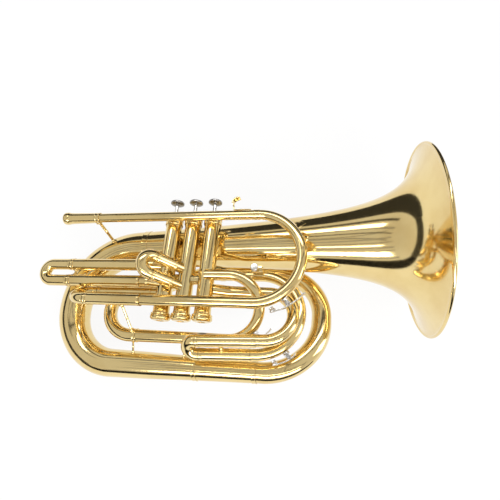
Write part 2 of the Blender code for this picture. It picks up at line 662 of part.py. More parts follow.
def make_water_key(number, seat, along, outward, finger_arm, pad_arm, rise):
    """A water key on a tube: seat is on the tube's surface under the pin, along leads to the finger end.

    Its two arms are measured from the pin, and rise is how far the finger end stands off the seat.
    """
    seat, along, outward = Vector(seat), Vector(along).normalized(), Vector(outward).normalized()
    across = outward.cross(along)
    axes = (along, across, outward)

    def at(u, v, w):
        return seat + along * u + across * v + outward * w

    name = f"water_key_{number}"
    pin_height = 0.0060
    saddle = as_mesh(box(f"{name}_saddle", at(0, 0, 0.0011), (0.0080, 0.0116, 0.0010), axes))
    for side in (-1, 1):
        cheek = box(f"{name}_cheek", at(0, side * 0.0052, 0.0046), (0.0044, 0.0012, 0.0070), axes)
        boolean(saddle, hide(cheek), "UNION")
    pin = rod(f"{name}_pin", even([at(0, -0.0064, pin_height), at(0, 0.0064, pin_height)], 0.0009), 8)
    boolean(saddle, hide(as_mesh(pin)), "UNION")
    hinge = joint_empty(f"{name}_hinge", at(0, 0, pin_height))
    arm = [(-pad_arm - 0.001, 0.0050), (-pad_arm * 0.6, 0.0080), (0.0, 0.0100),
           (finger_arm * 0.5, (0.0100 + rise) / 2 + 0.0006), (finger_arm, rise)]
    radii = (0.0010, 0.0014, 0.0016, 0.0014, 0.0018)
    lever = as_mesh(rod(f"{name}_lever", [(at(u, 0, w), r) for (u, w), r in zip(arm, radii)], 8,
                        parent=hinge))
    barrel = as_mesh(turned(f"{name}_barrel", ring_profile(0.0030, 0.0013, 0.0, 0.0034),
                            at(0, -0.0042, pin_height), across, 12, closed=True))
    boolean(lever, hide(barrel), "UNION")
    pad = as_mesh(turned(f"{name}_pad", [(0.0, 0.0034), (0.0036, 0.0031), (0.0040, 0.0), (0.0, 0.0)],
                         at(-pad_arm, 0, 0.0022), outward, 12))
    boolean(lever, hide(pad), "UNION")
    pitch, wire = 0.00125, 0.00035
    coil = helix(at(0, -0.0002, pin_height), across, -outward, 0.0021, pitch, 3.0)
    report_gap(name, coil, wire)
    first, last = coil[0], coil[-1]
    spring = [first - along * 0.0040] + coil + [last + along * 0.0040]
    rod(f"{name}_spring", even(spring, wire), 6, STEEL)


def on_bend(centre, radius, degrees, y):
    """A point on a bend seen from the side, with its outward and forward directions."""
    turn = math.radians(degrees)
    outward = Vector((math.cos(turn), 0, math.sin(turn)))
    along = Vector((-math.sin(turn), 0, math.cos(turn)))
    place = Vector((centre[0], y, centre[1])) + outward * radius
    return place, along, outward


def make_water_keys():
    lead_centre = (LEAD_BEND_X, (LEAD_TOP + LEAD_LOW) / 2)
    lead_reach = (LEAD_TOP - LEAD_LOW) / 2 + TUBE_RADIUS + GAP
    make_water_key(1, *on_bend(lead_centre, lead_reach, -53, LEAD_Y), 0.0240, 0.0195, 0.0085)
    outer_reach = 0.0539 + BOW_RADIUS + GAP
    outer_centre = (OUTER_TURN_X, 0.0182)
    make_water_key(2, *on_bend(outer_centre, outer_reach, -51, 0.0155), 0.0095, 0.0185, 0.0085)
    feed_centre = (FEED_LOOP_X, (FEED_TOP.z + INNER_LOW.z) / 2)
    feed_reach = (FEED_TOP.z - INNER_LOW.z) / 2 + TUBE_RADIUS + GAP
    make_water_key(3, *on_bend(feed_centre, feed_reach, -40, 0.0100), 0.0180, 0.0120, 0.0120)


def ribbon(name, stations, finish=BRASS):
    """A flat bar bent in the plane of the valves, from (x, z, half width, thickness) stations."""
    part = add_part(name, bpy.data.meshes.new(name), finish)
    work = bmesh.new()
    loops = []
    for i, (x, z, half, thick) in enumerate(stations):
        before, after = stations[max(i - 1, 0)], stations[min(i + 1, len(stations) - 1)]
        lean = Vector((before[1] - after[1], 0, after[0] - before[0])).normalized() * thick / 2
        loops.append([work.verts.new(Vector((x, LEAD_Y + side * half, z)) + lean * face)
                      for side, face in ((-1, -1), (1, -1), (1, 1), (-1, 1))])
    for low, high in zip(loops, loops[1:]):
        for i in range(4):
            j = (i + 1) % 4
            work.faces.new((low[i], low[j], high[j], high[i]))
    work.faces.new(loops[0])
    work.faces.new(loops[-1])
    bmesh.ops.recalc_face_normals(work, faces=work.faces)
    work.to_mesh(part.data)
    work.free()
    return part


def make_finger_hook():
    """A foot plate on the leadpipe, a narrow neck and a broad strap that curls over."""
    x, foot = 0.0640, LEAD_TOP + LEADPIPE_RADIUS + GAP + 0.0006
    side_view = [
        (0.0240, 0.0000, 0.0024, 0.0010), (0.0020, 0.0000, 0.0024, 0.0011), (0.0006, 0.0006, 0.0012, 0.0018),
        (0.0000, 0.0022, 0.0010, 0.0020), (-0.0004, 0.0060, 0.0011, 0.0020), (-0.0016, 0.0080, 0.0030, 0.0016),
        (-0.0020, 0.0105, 0.0044, 0.0014), (-0.0008, 0.0135, 0.0044, 0.0014), (0.0016, 0.0158, 0.0044, 0.0014),
        (0.0046, 0.0172, 0.0044, 0.0014), (0.0076, 0.0176, 0.0040, 0.0014)]
    ribbon("finger_hook", [(x + along, foot + up, half, thick) for along, up, half, thick in side_view])


def make_fittings():
    upright = ((1, 0, 0), (0, 1, 0), (0, 0, 1))
    socket_width, well_width = 0.0088, 0.0060
    socket_place = Vector((0.0930, UPPER_TURN_Y - BOW_RADIUS - 2 * GAP - socket_width / 2, 0.0770))
    socket = as_mesh(box("lyre_socket", socket_place, (0.0140, socket_width, socket_width), upright))
    boolean(socket, hide(box("lyre_well", socket_place, (0.0200, well_width, well_width), upright)))
    screw_place = socket_place + Vector((-0.002, -socket_width / 2 - GAP, 0.0))
    turning = joint_empty("lyre_screw_turn", screw_place)
    turned("lyre_screw", [(0.0, 0.0085), (0.0047, 0.0085), (0.0053, 0.0078), (0.0053, 0.0046),
                          (0.0045, 0.0038), (0.0014, 0.0034), (0.0014, 0.0), (0.0, 0.0)], screw_place,
           (0, -1, 0), 12, NICKEL, turning)


def make_braces():
    bow_at = Vector((-0.1225, 0.0354, 0.1074))
    post("receiver_brace", (-0.1395, LEAD_Y, LEAD_TOP), 0.0081, bow_at, 0.0254, 0.0021, -SLANT_GAP)
    bell_at = BELL_TAIL.lerp(BELL_RIM, 0.63)
    reach = (BELL_RIM - bell_at).length
    bend_centre = (LEAD_BEND_X, (LEAD_TOP + LEAD_LOW) / 2)
    bend_at = on_bend(bend_centre, (LEAD_TOP - LEAD_LOW) / 2, 33, LEAD_Y)[0]
    post("bell_brace", bend_at, TUBE_RADIUS, bell_at, bell_radius(reach) + 0.0005, bite=-SLANT_GAP)
    post("leg_brace", (-0.078, LEAD_Y, LEAD_LOW), SLEEVE_RADIUS,
         (-0.070, INNER_LOW.y, INNER_LOW.z), 0.0087, bite=-2 * GAP)


def stand_on_floor():
    """Lower the instrument onto the floor, with the middle of its bounding box over the origin."""
    bpy.context.view_layer.update()
    graph = bpy.context.evaluated_depsgraph_get()
    places = []
    for part in PARTS.objects:
        shape = part.evaluated_get(graph)
        places += [shape.matrix_world @ vertex.co for vertex in shape.to_mesh().vertices]
    low, high = [[pick(place[axis] for place in places) for axis in range(3)] for pick in (min, max)]
    FRAME.location -= Vector(((low[0] + high[0]) / 2, (low[1] + high[1]) / 2, low[2]))
    print("size in mm", [round((top - bottom) * 1000, 1) for bottom, top in zip(low, high)])


bell_length = make_bell()
make_branch(bell_length)
make_leadpipe()
make_main_slide()
make_first_slide()
make_second_slide()
make_third_slide()
for valve in (1, 2, 3):
    make_valve(valve)
make_crossovers()
make_water_keys()
make_finger_hook()
make_fittings()
make_braces()
stand_on_floor()
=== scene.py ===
import bpy
import json
import math
from mathutils import Matrix, Vector


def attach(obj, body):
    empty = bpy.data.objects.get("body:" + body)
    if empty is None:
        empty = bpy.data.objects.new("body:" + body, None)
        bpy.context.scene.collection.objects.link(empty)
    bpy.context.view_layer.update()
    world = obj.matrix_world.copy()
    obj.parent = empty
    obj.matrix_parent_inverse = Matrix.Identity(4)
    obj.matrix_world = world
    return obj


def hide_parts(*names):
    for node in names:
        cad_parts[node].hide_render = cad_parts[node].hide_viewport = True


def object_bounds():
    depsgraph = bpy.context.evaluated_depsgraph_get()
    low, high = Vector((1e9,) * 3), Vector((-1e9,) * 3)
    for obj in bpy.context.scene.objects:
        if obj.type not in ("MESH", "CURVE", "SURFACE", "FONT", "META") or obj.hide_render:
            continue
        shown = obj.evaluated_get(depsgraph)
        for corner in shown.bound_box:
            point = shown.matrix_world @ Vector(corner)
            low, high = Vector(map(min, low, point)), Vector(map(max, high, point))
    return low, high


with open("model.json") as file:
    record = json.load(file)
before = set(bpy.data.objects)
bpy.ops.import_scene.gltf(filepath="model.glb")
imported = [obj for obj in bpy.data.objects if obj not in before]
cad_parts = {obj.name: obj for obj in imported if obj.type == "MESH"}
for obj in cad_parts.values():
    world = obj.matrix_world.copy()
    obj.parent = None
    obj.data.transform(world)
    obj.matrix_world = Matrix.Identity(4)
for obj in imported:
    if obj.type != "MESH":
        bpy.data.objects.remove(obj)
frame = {"nodes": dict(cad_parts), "record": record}
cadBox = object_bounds()

# how the instrument lies: everything below is laid out as it is played, X to the bell, Z up the valves,
# then turned onto its side and set where the solid model's bottom cap is
resting = {"roll": -95.035, "pitch": -17.080, "capPoint": (0, 0.008, 0)}
turned = (Matrix.Rotation(math.radians(resting["pitch"]), 4, "Y")
          @ Matrix.Rotation(math.radians(resting["roll"]), 4, "X"))
mounts = {m["name"]: Vector(m["pos_m"]) for m in frame["record"]["mounts"]}
lay = Matrix.Translation(mounts["bottom_cap_face"] - turned @ Vector(resting["capPoint"])) @ turned
gap = 0.0003             # clearance between neighbouring pieces
stub = 0.002             # straight end of a bow


# the studio
# lamps: name, (degrees below the viewer, distance, degrees to the side), size, power
# cards: degrees below the viewer, width, tone
studio = {"floorSize": 14, "floorLow": -0.0008, "floorWhite": 0.9, "floorShown": 0.9, "horizon": 0.85,
          "overhead": 0.7,
          "ceiling": 1.9, "cardLength": 3.4,
          "lamps": (("keySoftbox", (42, 1.6), (2.2, 0.30), 20), ("stripSoftbox", (18, 1.7), (2.2, 0.06), 3),
                    ("fillSoftbox", (-52, 1.7), (2.0, 0.25), 9),
                    ("sideSoftbox", (10, 1.8, 70), (0.6, 1.2), 7)),
          "cards": ((-66, 0.22, 0.06), (-45, 0.16, 0.30), (-34, 0.10, 0.05), (-24, 0.12, 0.30),
                    (-14, 0.10, 0.45),
                    (-7, 0.05, 0.10), (2, 0.14, 0.40), (11, 0.06, 0.12), (25, 0.12, 0.35), (33, 0.05, 0.08),
                    (53, 0.12, 0.30), (62, 0.12, 0.05))}


def linkNodes(tree, *pairs):
    for a, b in pairs:
        tree.links.new(a, b)


def makeStageMaterial(name, colour, showWhite):
    mat = bpy.data.materials.new(name)
    mat.use_nodes = True
    tree = mat.node_tree
    tree.nodes.clear()
    out = tree.nodes.new("ShaderNodeOutputMaterial")
    paint = tree.nodes.new("ShaderNodeBsdfDiffuse")
    paint.inputs["Color"].default_value = (colour, colour, colour, 1)
    if not showWhite:
        linkNodes(tree, (paint.outputs[0], out.inputs[0]))
        return mat
    glow = tree.nodes.new("ShaderNodeEmission")
    rays = tree.nodes.new("ShaderNodeLightPath")
    seen = tree.nodes.new("ShaderNodeMath")
    seen.operation = "MAXIMUM"
    seen2 = tree.nodes.new("ShaderNodeMath")
    seen2.operation = "MAXIMUM"
    share = tree.nodes.new("ShaderNodeMath")
    share.operation = "MULTIPLY"
    share.inputs[1].default_value = showWhite
    mix = tree.nodes.new("ShaderNodeMixShader")
    linkNodes(tree, (rays.outputs["Is Camera Ray"], seen.inputs[0]),
              (rays.outputs["Is Glossy Ray"], seen.inputs[1]),
              (seen.outputs[0], seen2.inputs[0]), (rays.outputs["Is Transmission Ray"], seen2.inputs[1]),
              (seen2.outputs[0], share.inputs[0]), (share.outputs[0], mix.inputs[0]),
              (paint.outputs[0], mix.inputs[1]), (glow.outputs[0], mix.inputs[2]),
              (mix.outputs[0], out.inputs[0]))
    return mat


def makeWorld():
    world = bpy.data.worlds.new("studioAir")
    bpy.context.scene.world = world
    world.use_nodes = True
    tree = world.node_tree
    air = tree.nodes["Background"]
    way = tree.nodes.new("ShaderNodeTexCoord")
    split = tree.nodes.new("ShaderNodeSeparateXYZ")
    level = tree.nodes.new("ShaderNodeMapRange")         # pale at the horizon, dim overhead
    level.inputs["From Max"].default_value = 0.5
    level.inputs["To Min"].default_value = studio["horizon"]
    level.inputs["To Max"].default_value = studio["overhead"]
    linkNodes(tree, (way.outputs["Generated"], split.inputs[0]), (split.outputs["Z"], level.inputs["Value"]),
              (level.outputs["Result"], air.inputs["Strength"]))
    air.inputs["Color"].default_value = (1, 0.98, 0.95, 1)


def addLamp(name, place, size, power, aim):
    bpy.ops.object.light_add(type="AREA", location=place)
    lamp = bpy.context.object
    lamp.name = name
    lamp.data.shape = "RECTANGLE"
    lamp.data.size, lamp.data.size_y = size
    lamp.data.energy = power
    lamp.rotation_euler = (Vector(aim) - Vector(place)).to_track_quat("-Z", "Y").to_euler()


def addCard(name, place, size, aim, tone):
    # a plain card that only the metal sees
    bpy.ops.mesh.primitive_plane_add(size=1, location=place)
    card = bpy.context.object
    card.name = name
    card.scale = (*size, 1)
    card.rotation_euler = (Vector(aim) - Vector(place)).to_track_quat("Z", "Y").to_euler()
    card.data.materials.append(makeStageMaterial(name, tone, 0))
    card.visible_camera = False
    card.visible_shadow = False
    card.visible_diffuse = False


camera = {"place": (0.2084, -0.5002, -0.0917), "right": (0.9744, 0.211, 0.078),
          "up": (0.0021, -0.3553, 0.9347), "back": (0.225, -0.9106, -0.3467), "focalPixels": 412.29,
          "frame": 500}


def makeCamera():
    bpy.ops.object.camera_add()
    cam = bpy.context.object
    cam.name = "photoCamera"
    sides = [turned.to_3x3() @ Vector(camera[k]).normalized() for k in ("right", "up", "back")]
    axes = Matrix(sides).transposed()
    cam.matrix_world = Matrix.Translation(lay @ Vector(camera["place"])) @ axes.to_4x4()
    cam.data.sensor_width = 36
    cam.data.lens = 36 * camera["focalPixels"] / camera["frame"]
    cam.data.clip_start = 0.01
    bpy.context.scene.camera = cam
    return cam


def makeStudio():
    bpy.ops.mesh.primitive_plane_add(size=studio["floorSize"], location=(0, 0, studio["floorLow"]))
    floor = bpy.context.object
    floor.name = "paleFloor"
    floor.data.materials.append(makeStageMaterial("paleFloor", studio["floorWhite"], studio["floorShown"]))
    makeWorld()
    middle = (cadBox[0] + cadBox[1]) / 2
    viewer = turned.to_3x3() @ Vector(camera["back"])
    down = turned.to_3x3() @ -Vector(camera["up"])
    side = turned.to_3x3() @ Vector(camera["right"])

    def around(degreesDown, distance, degreesSide=0):
        a, b = math.radians(degreesDown), math.radians(degreesSide)
        way = (viewer * math.cos(a) + down * math.sin(a)) * math.cos(b) + side * math.sin(b)
        return middle + way * distance

    for name, bearing, size, power in studio["lamps"]:
        addLamp(name, around(*bearing), size, power, middle)
    addCard("frontCard", (middle.x, -1.0, 0.20), (3.2, 0.34), (middle.x, 1, 0.20), 0.01)
    addCard("backCard", (middle.x, 0.50, 0.20), (2.2, 0.34), (middle.x, -1, 0.20), 0.03)
    addCard("leftCard", (-1.00, middle.y, 0.22), (1.4, 0.26), (1, middle.y, 0.22), 0.04)
    for number, (degrees, width, tone) in enumerate(studio["cards"], 1):
        addCard(f"ceilingCard{number}", around(degrees, studio["ceiling"]), (studio["cardLength"], width),
                middle, tone)
    print("studio made")


# finishes
finishes = {
    "brass": {"colour": (0.84, 0.66, 0.31), "dim": (0.76, 0.56, 0.23), "rough": (0.07, 0.15), "bump": 0.012,
              "coat": 0.35, "slot": "lacquered_brass"},
    "nickel": {"colour": (0.76, 0.74, 0.70), "dim": (0.62, 0.60, 0.56), "rough": (0.12, 0.24), "bump": 0.02,
               "coat": 0.0, "slot": "nickel_silver"},
    "plate": {"colour": (0.42, 0.40, 0.38), "dim": (0.26, 0.25, 0.24), "rough": (0.22, 0.36), "bump": 0.03,
              "coat": 0.0, "slot": "nickel_silver"},
    "steel": {"colour": (0.58, 0.58, 0.60), "dim": (0.48, 0.48, 0.50), "rough": (0.22, 0.34), "bump": 0.02,
              "coat": 0.0, "slot": "spring_steel"},
}


def makeMetal(name, kind):
    look = finishes[kind]
    mat = bpy.data.materials.new(name)
    mat.use_nodes = True
    tree = mat.node_tree
    shader = tree.nodes["Principled BSDF"]
    shader.inputs["Metallic"].default_value = 1.0
    shader.inputs["Coat Weight"].default_value = look["coat"]
    shader.inputs["Coat Roughness"].default_value = 0.04
    where = tree.nodes.new("ShaderNodeTexCoord")
    cloud = tree.nodes.new("ShaderNodeTexNoise")      # slow change of tone under the lacquer
    cloud.inputs["Scale"].default_value = 22
    cloud.inputs["Detail"].default_value = 3
    tone = tree.nodes.new("ShaderNodeValToRGB")
    tone.color_ramp.elements[0].position = 0.30
    tone.color_ramp.elements[0].color = (*look["dim"], 1)
    tone.color_ramp.elements[1].position = 0.62
    tone.color_ramp.elements[1].color = (*look["colour"], 1)
    wipe = tree.nodes.new("ShaderNodeTexNoise")       # fine wipe marks
    wipe.inputs["Scale"].default_value = 260
    wipe.inputs["Detail"].default_value = 5
    gloss = tree.nodes.new("ShaderNodeMapRange")
    gloss.inputs["To Min"].default_value = look["rough"][0]
    gloss.inputs["To Max"].default_value = look["rough"][1]
    ripple = tree.nodes.new("ShaderNodeBump")
    ripple.inputs["Strength"].default_value = look["bump"]
    ripple.inputs["Distance"].default_value = 0.002
    linkNodes(tree, (where.outputs["Object"], cloud.inputs["Vector"]),
              (where.outputs["Object"], wipe.inputs["Vector"]),
              (cloud.outputs["Fac"], tone.inputs["Fac"]),
              (tone.outputs["Color"], shader.inputs["Base Color"]),
              (wipe.outputs["Fac"], gloss.inputs["Value"]),
              (gloss.outputs["Result"], shader.inputs["Roughness"]),
              (cloud.outputs["Fac"], ripple.inputs["Height"]),
              (ripple.outputs["Normal"], shader.inputs["Normal"]))
    return mat


def makeGrainy(name, light, dark, scale, rough, bump):
    mat = bpy.data.materials.new(name)
    mat.use_nodes = True
    tree = mat.node_tree
    shader = tree.nodes["Principled BSDF"]
    shader.inputs["Roughness"].default_value = rough
    where = tree.nodes.new("ShaderNodeTexCoord")
    grain = tree.nodes.new("ShaderNodeTexNoise")
    grain.inputs["Scale"].default_value = scale
    grain.inputs["Detail"].default_value = 6
    tone = tree.nodes.new("ShaderNodeValToRGB")
    tone.color_ramp.elements[0].position = 0.35
    tone.color_ramp.elements[0].color = (*dark, 1)
    tone.color_ramp.elements[1].position = 0.65
    tone.color_ramp.elements[1].color = (*light, 1)
    pits = tree.nodes.new("ShaderNodeBump")
    pits.inputs["Strength"].default_value = bump
    pits.inputs["Distance"].default_value = 0.0006
    linkNodes(tree, (where.outputs["Object"], grain.inputs["Vector"]),
              (grain.outputs["Fac"], tone.inputs["Fac"]),
              (tone.outputs["Color"], shader.inputs["Base Color"]),
              (grain.outputs["Fac"], pits.inputs["Height"]),
              (pits.outputs["Normal"], shader.inputs["Normal"]))
    return mat


brass = makeMetal("lacqueredBrass", "brass")
nickel = makeMetal("nickelSilver", "nickel")
dullPlate = makeMetal("dullNickelPlate", "plate")
steel = makeMetal("springSteel", "steel")
cork = makeGrainy("naturalCork", (0.62, 0.43, 0.25), (0.36, 0.22, 0.12), 900, 0.9, 0.5)
felt = makeGrainy("woolFelt", (0.16, 0.16, 0.17), (0.07, 0.07, 0.08), 2200, 1.0, 0.6)


# shaping helpers
def deselectAll():
    if bpy.context.mode != "OBJECT":
        bpy.ops.object.mode_set(mode="OBJECT")
    bpy.ops.object.select_all(action="DESELECT")


def pick(obj):
    deselectAll()
    obj.select_set(True)
    bpy.context.view_layer.objects.active = obj
    return obj


def drawLine(points, radii=None, closed=False):
    deselectAll()
    bpy.ops.curve.primitive_bezier_curve_add()
    line = bpy.context.object
    line.data.splines.clear()
    spline = line.data.splines.new("POLY")
    spline.points.add(len(points) - 1)
    for i, point in enumerate(points):
        spline.points[i].co = (*point, 1)
        spline.points[i].radius = radii[i] if radii else 1
    spline.use_cyclic_u = closed
    line.data.dimensions = "3D"
    return line


def toMesh(line):
    pick(line)
    bpy.ops.object.convert(target="MESH")
    return bpy.context.object


def applyModifier(obj, kind, **settings):
    pick(obj)
    step = obj.modifiers.new(kind.lower(), kind)
    for key, value in settings.items():
        setattr(step, key, value)
    bpy.ops.object.modifier_apply(modifier=step.name)
    return obj


def sweep(stations, wall=0, sides=32):
    # a tube or bar through (point, radius) stations
    line = drawLine([p for p, r in stations], [r for p, r in stations])
    line.data.bevel_depth = 1
    line.data.bevel_resolution = (sides - 4) // 2
    line.data.use_fill_caps = wall == 0
    obj = toMesh(line)
    if wall == 0:
        pick(obj)
        bpy.ops.object.mode_set(mode="EDIT")
        bpy.ops.mesh.select_all(action="SELECT")
        bpy.ops.mesh.remove_doubles(threshold=0.000001)
        bpy.ops.object.mode_set(mode="OBJECT")
        return obj
    return applyModifier(obj, "SOLIDIFY", thickness=wall, offset=-1)


def spin(profile, steps=64, closed=False):
    # a turned piece from (radius, height) points, standing on the origin
    obj = toMesh(drawLine([(r, 0, h) for r, h in profile], closed=closed))
    bpy.ops.object.mode_set(mode="EDIT")
    bpy.ops.mesh.select_all(action="SELECT")
    bpy.ops.mesh.spin(steps=steps, angle=2 * math.pi, center=(0, 0, 0), axis=(0, 0, 1))
    bpy.ops.mesh.select_all(action="SELECT")
    bpy.ops.mesh.remove_doubles(threshold=0.000002)
    bpy.ops.mesh.normals_make_consistent(inside=False)
    bpy.ops.object.mode_set(mode="OBJECT")
    return obj


def soften(points, reach, parts=3):
    # the outline with its corners rounded
    out = [points[0]]
    for before, corner, after in zip(points, points[1:], points[2:]):
        b, c, a = Vector(before), Vector(corner), Vector(after)
        near = min(reach, (b - c).length * 0.45, (a - c).length * 0.45)
        start = c + (b - c).normalized() * near
        end = c + (a - c).normalized() * near
        for i in range(parts + 1):
            t = i / parts
            out.append(tuple(start * (1 - t) ** 2 + c * 2 * t * (1 - t) + end * t * t))
    out.append(points[-1])
    return out


def standAt(obj, place, axis):
    obj.data.transform(Matrix.Translation(place)
                       @ Vector((0, 0, 1)).rotation_difference(Vector(axis)).to_matrix().to_4x4())
    return obj


def joinAll(objs):
    pick(objs[0])
    for obj in objs[1:]:
        obj.select_set(True)
    bpy.ops.object.join()
    return bpy.context.object


def place(obj, name, body, mat, *nodes, angle=38):
    # lay the finished piece down, give it its finish, and hang it on its body
    pick(obj)
    bpy.ops.object.transform_apply(location=True, rotation=True, scale=True)
    obj.data.transform(lay)
    obj.name = name
    obj.data.name = name
    if mat:
        obj.data.materials.clear()
        obj.data.materials.append(mat)
    bpy.ops.object.shade_smooth_by_angle(angle=math.radians(angle))
    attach(obj, body)
    if nodes:
        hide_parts(*nodes)
    return obj


def pipeRun(corners, bends, stepDegrees=4):
    # straight runs with rounded corners, all to one bend radius or to one each
    corners = [Vector(c) for c in corners]
    bends = bends if isinstance(bends, tuple) else (bends,) * (len(corners) - 2)
    points = [corners[0]]
    for before, corner, after, bendRadius in zip(corners, corners[1:], corners[2:], bends):
        back, ahead = (before - corner).normalized(), (after - corner).normalized()
        half = back.angle(ahead) / 2
        reach = bendRadius / math.tan(half)
        centre = corner + (back + ahead).normalized() * bendRadius / math.sin(half)
        start, end = corner + back * reach - centre, corner + ahead * reach - centre
        sweepAngle = start.angle(end)
        axis = start.cross(end).normalized()
        steps = max(3, math.ceil(math.degrees(sweepAngle) / stepDegrees))
        for i in range(steps + 1):
            point = centre + Matrix.Rotation(sweepAngle * i / steps, 3, axis) @ start
            if (point - points[-1]).length > 1e-4:
                points.append(point)
    points.append(corners[-1])
    return points


def uTurn(start, across, out, legs, stepDegrees=4):
    start, across, out = Vector(start), Vector(across), Vector(out).normalized()
    far = start + out * (legs + across.length / 2)
    return pipeRun([start, far, far + across, start + across], across.length / 2 * 0.9999, stepDegrees)


def lineLength(points):
    return sum((b - a).length for a, b in zip(points, points[1:]))


def gauge(points, marks):
    # radius along a run from (distance, radius) marks; negative distances count back from the end
    total = lineLength(points)
    marks = sorted((s if s >= 0 else total + s, r) for s, r in marks)

    def radiusAt(d):
        if d <= marks[0][0]:
            return marks[0][1]
        for (s0, r0), (s1, r1) in zip(marks, marks[1:]):
            if d <= s1:
                return r0 + (r1 - r0) * (d - s0) / (s1 - s0)
        return marks[-1][1]

    out, walked = [], 0.0
    for a, b in zip(points, points[1:]):
        span = (b - a).length
        out.append((a, radiusAt(walked)))
        for s, r in marks:
            if walked + 5e-5 < s < walked + span - 5e-5:
                out.append((a.lerp(b, (s - walked) / span), r))
        walked += span
    out.append((points[-1], radiusAt(total)))
    return out


def ferrule(place, axis, inner, width, rise=0.0006, bead=0.0003):
    # a thin sleeve over a joint, with a fine bead at each edge
    w = width / 2
    outline = soften([(inner, w), (inner + rise + bead, w), (inner + rise + bead, w - 0.0008),
                      (inner + rise, w - 0.0012),
                      (inner + rise, -w + 0.0012), (inner + rise + bead, -w + 0.0008),
                      (inner + rise + bead, -w),
                      (inner, -w), (inner, 0)], 0.0003, 2)
    return standAt(spin(outline, 64, True), place, axis)


bpy.context.scene.view_settings.view_transform = "Standard"
makeCamera()
makeStudio()


def trimByCasings(obj, *numbers):
    # cut a tube back to the outside of the casings that it meets
    for number in numbers:
        deselectAll()
        bpy.ops.mesh.primitive_cylinder_add(vertices=96, radius=valve["casingRadius"] + gap, depth=0.22,
                                            location=(casingX(number), 0, 0.07))
        cutter = bpy.context.object
        applyModifier(obj, "BOOLEAN", operation="DIFFERENCE", object=cutter, solver="EXACT")
        bpy.data.objects.remove(cutter, do_unlink=True)
    return obj


def post(start, startRadius, end, endRadius, radius, sink=0.0006, foot=2.3):
    # a turned brace post between two tubes, its feet flared onto them
    start, end = Vector(start), Vector(end)
    way = (end - start).normalized()
    length = (end - start).length - startRadius - endRadius + 2 * sink
    f, r = radius * foot, radius
    half = [(0, 0), (f, 0), (f, 0.0008 + sink), (f * 0.82, 0.0011 + sink), (r * 1.25, 0.0019 + sink),
            (r * 1.02, 0.0034 + sink), (r, length * 0.42), (r * 1.12, length * 0.5 - 0.0004)]
    outline = half + [(x, length - h) for x, h in reversed(half)]
    return standAt(spin(soften(outline, 0.0005), 40), start + way * (startRadius - sink), way)


def footPlate(target, place, way, length, width, thick, corners):
    # a thin plate that follows the tube under it
    way = Vector(way).normalized()
    deselectAll()
    bpy.ops.mesh.primitive_circle_add(vertices=corners, radius=1, fill_type="NGON")
    plate = bpy.context.object
    bpy.ops.object.mode_set(mode="EDIT")
    bpy.ops.mesh.select_all(action="SELECT")
    for _ in range(5):
        bpy.ops.mesh.inset(thickness=0.16)
    bpy.ops.object.mode_set(mode="OBJECT")
    axes = way.to_track_quat("Z", "Y").to_matrix().to_4x4()
    plate.data.transform(Matrix.Translation(Vector(place) + way * 0.03) @ axes
                         @ Matrix.Diagonal((length / 2, width / 2, 1, 1)))
    pick(plate)
    wrap = plate.modifiers.new("wrap", "SHRINKWRAP")
    wrap.target = target
    wrap.wrap_method = "NEAREST_SURFACEPOINT"
    plate.data.transform(Matrix.Translation(-way * 0.03))
    wrap.offset = 0.0001
    bpy.ops.object.modifier_apply(modifier="wrap")
    applyModifier(plate, "SOLIDIFY", thickness=thick, offset=1)
    return applyModifier(plate, "BEVEL", width=thick * 0.3, segments=2, limit_method="ANGLE")


# the bell
bell = {"tail": (-0.080, 0.038, 0.115), "rim": (0.3126, 0.066, 0.1377), "rimRadius": 0.1335,
        "flareLength": 0.0125,
        "flarePower": 0.445, "cone": -0.0055, "wall": 0.0008, "bead": 0.0022, "rings": 110, "steps": 160}
bellTail, bellRim = Vector(bell["tail"]), Vector(bell["rim"])
bellLength = (bellRim - bellTail).length
bellWay = (bellRim - bellTail).normalized()


def bellRadius(back):
    return bell["rimRadius"] * (1 + back / bell["flareLength"]) ** -bell["flarePower"] + bell["cone"] * back


def makeBell():
    backs = [bellLength * (i / bell["rings"]) ** 2.4 for i in range(bell["rings"] + 1)]
    outside = [(bellRadius(d), bellLength - d) for d in backs if d > 0.0014]
    inside = []
    for r, h in reversed(outside):
        rise = bellRadius(bellLength - h) - bellRadius(bellLength - h + 0.0005)
        slant = math.hypot(0.0005, rise)
        inside.append((r - bell["wall"] * 0.0005 / slant, h + bell["wall"] * rise / slant))
    bead = []
    for i in range(19):
        a = math.radians(-170 + 310 / 18 * i)
        bead.append((bell["rimRadius"] - bell["bead"] + bell["bead"] * math.cos(a),
                     bellLength - bell["bead"] * math.sin(a)))
    shell = standAt(spin(bead + outside + inside, bell["steps"], True), bellTail, bellWay)
    place(shell, "bellShell", "instrument", brass, "bell")
    tailRadius = bellRadius(bellLength)
    ring = ferrule(bellTail, bellWay, tailRadius + gap, 0.0085, 0.0004, 0.0001)
    place(ring, "bellTailRing", "instrument", brass, "bell_tail_ferrule")
    print("bell made")


# the conical branch behind it, from the left bow round to the valves
branch = {"y": 0.042, "low": -0.0542, "bowLeft": -0.1831, "bowBends": (0.0955, 0.0722), "bowRight": 0.1766,
          "splitLeft": 0.012, "splitRight": 0.098, "upperY": 0.091, "upperZ": 0.0945, "upperX": 0.020,
          "wall": 0.0009,
          "innerLow": (-0.064, 0.014, -0.0185), "innerTop": (-0.083, 0.030, 0.052), "innerLeft": -0.116,
          "innerBends": (0.029, 0.041), "feedTop": (0.030, -0.009, 0.0613), "feedLoopX": 0.061,
          "stayX": (-0.0705, 0.0025)}
tube = {"radius": 0.0072, "wall": 0.0008, "sleeve": 0.0081, "sleeveWall": 0.0007, "inner": 0.0067,
        "bow": 0.0079}


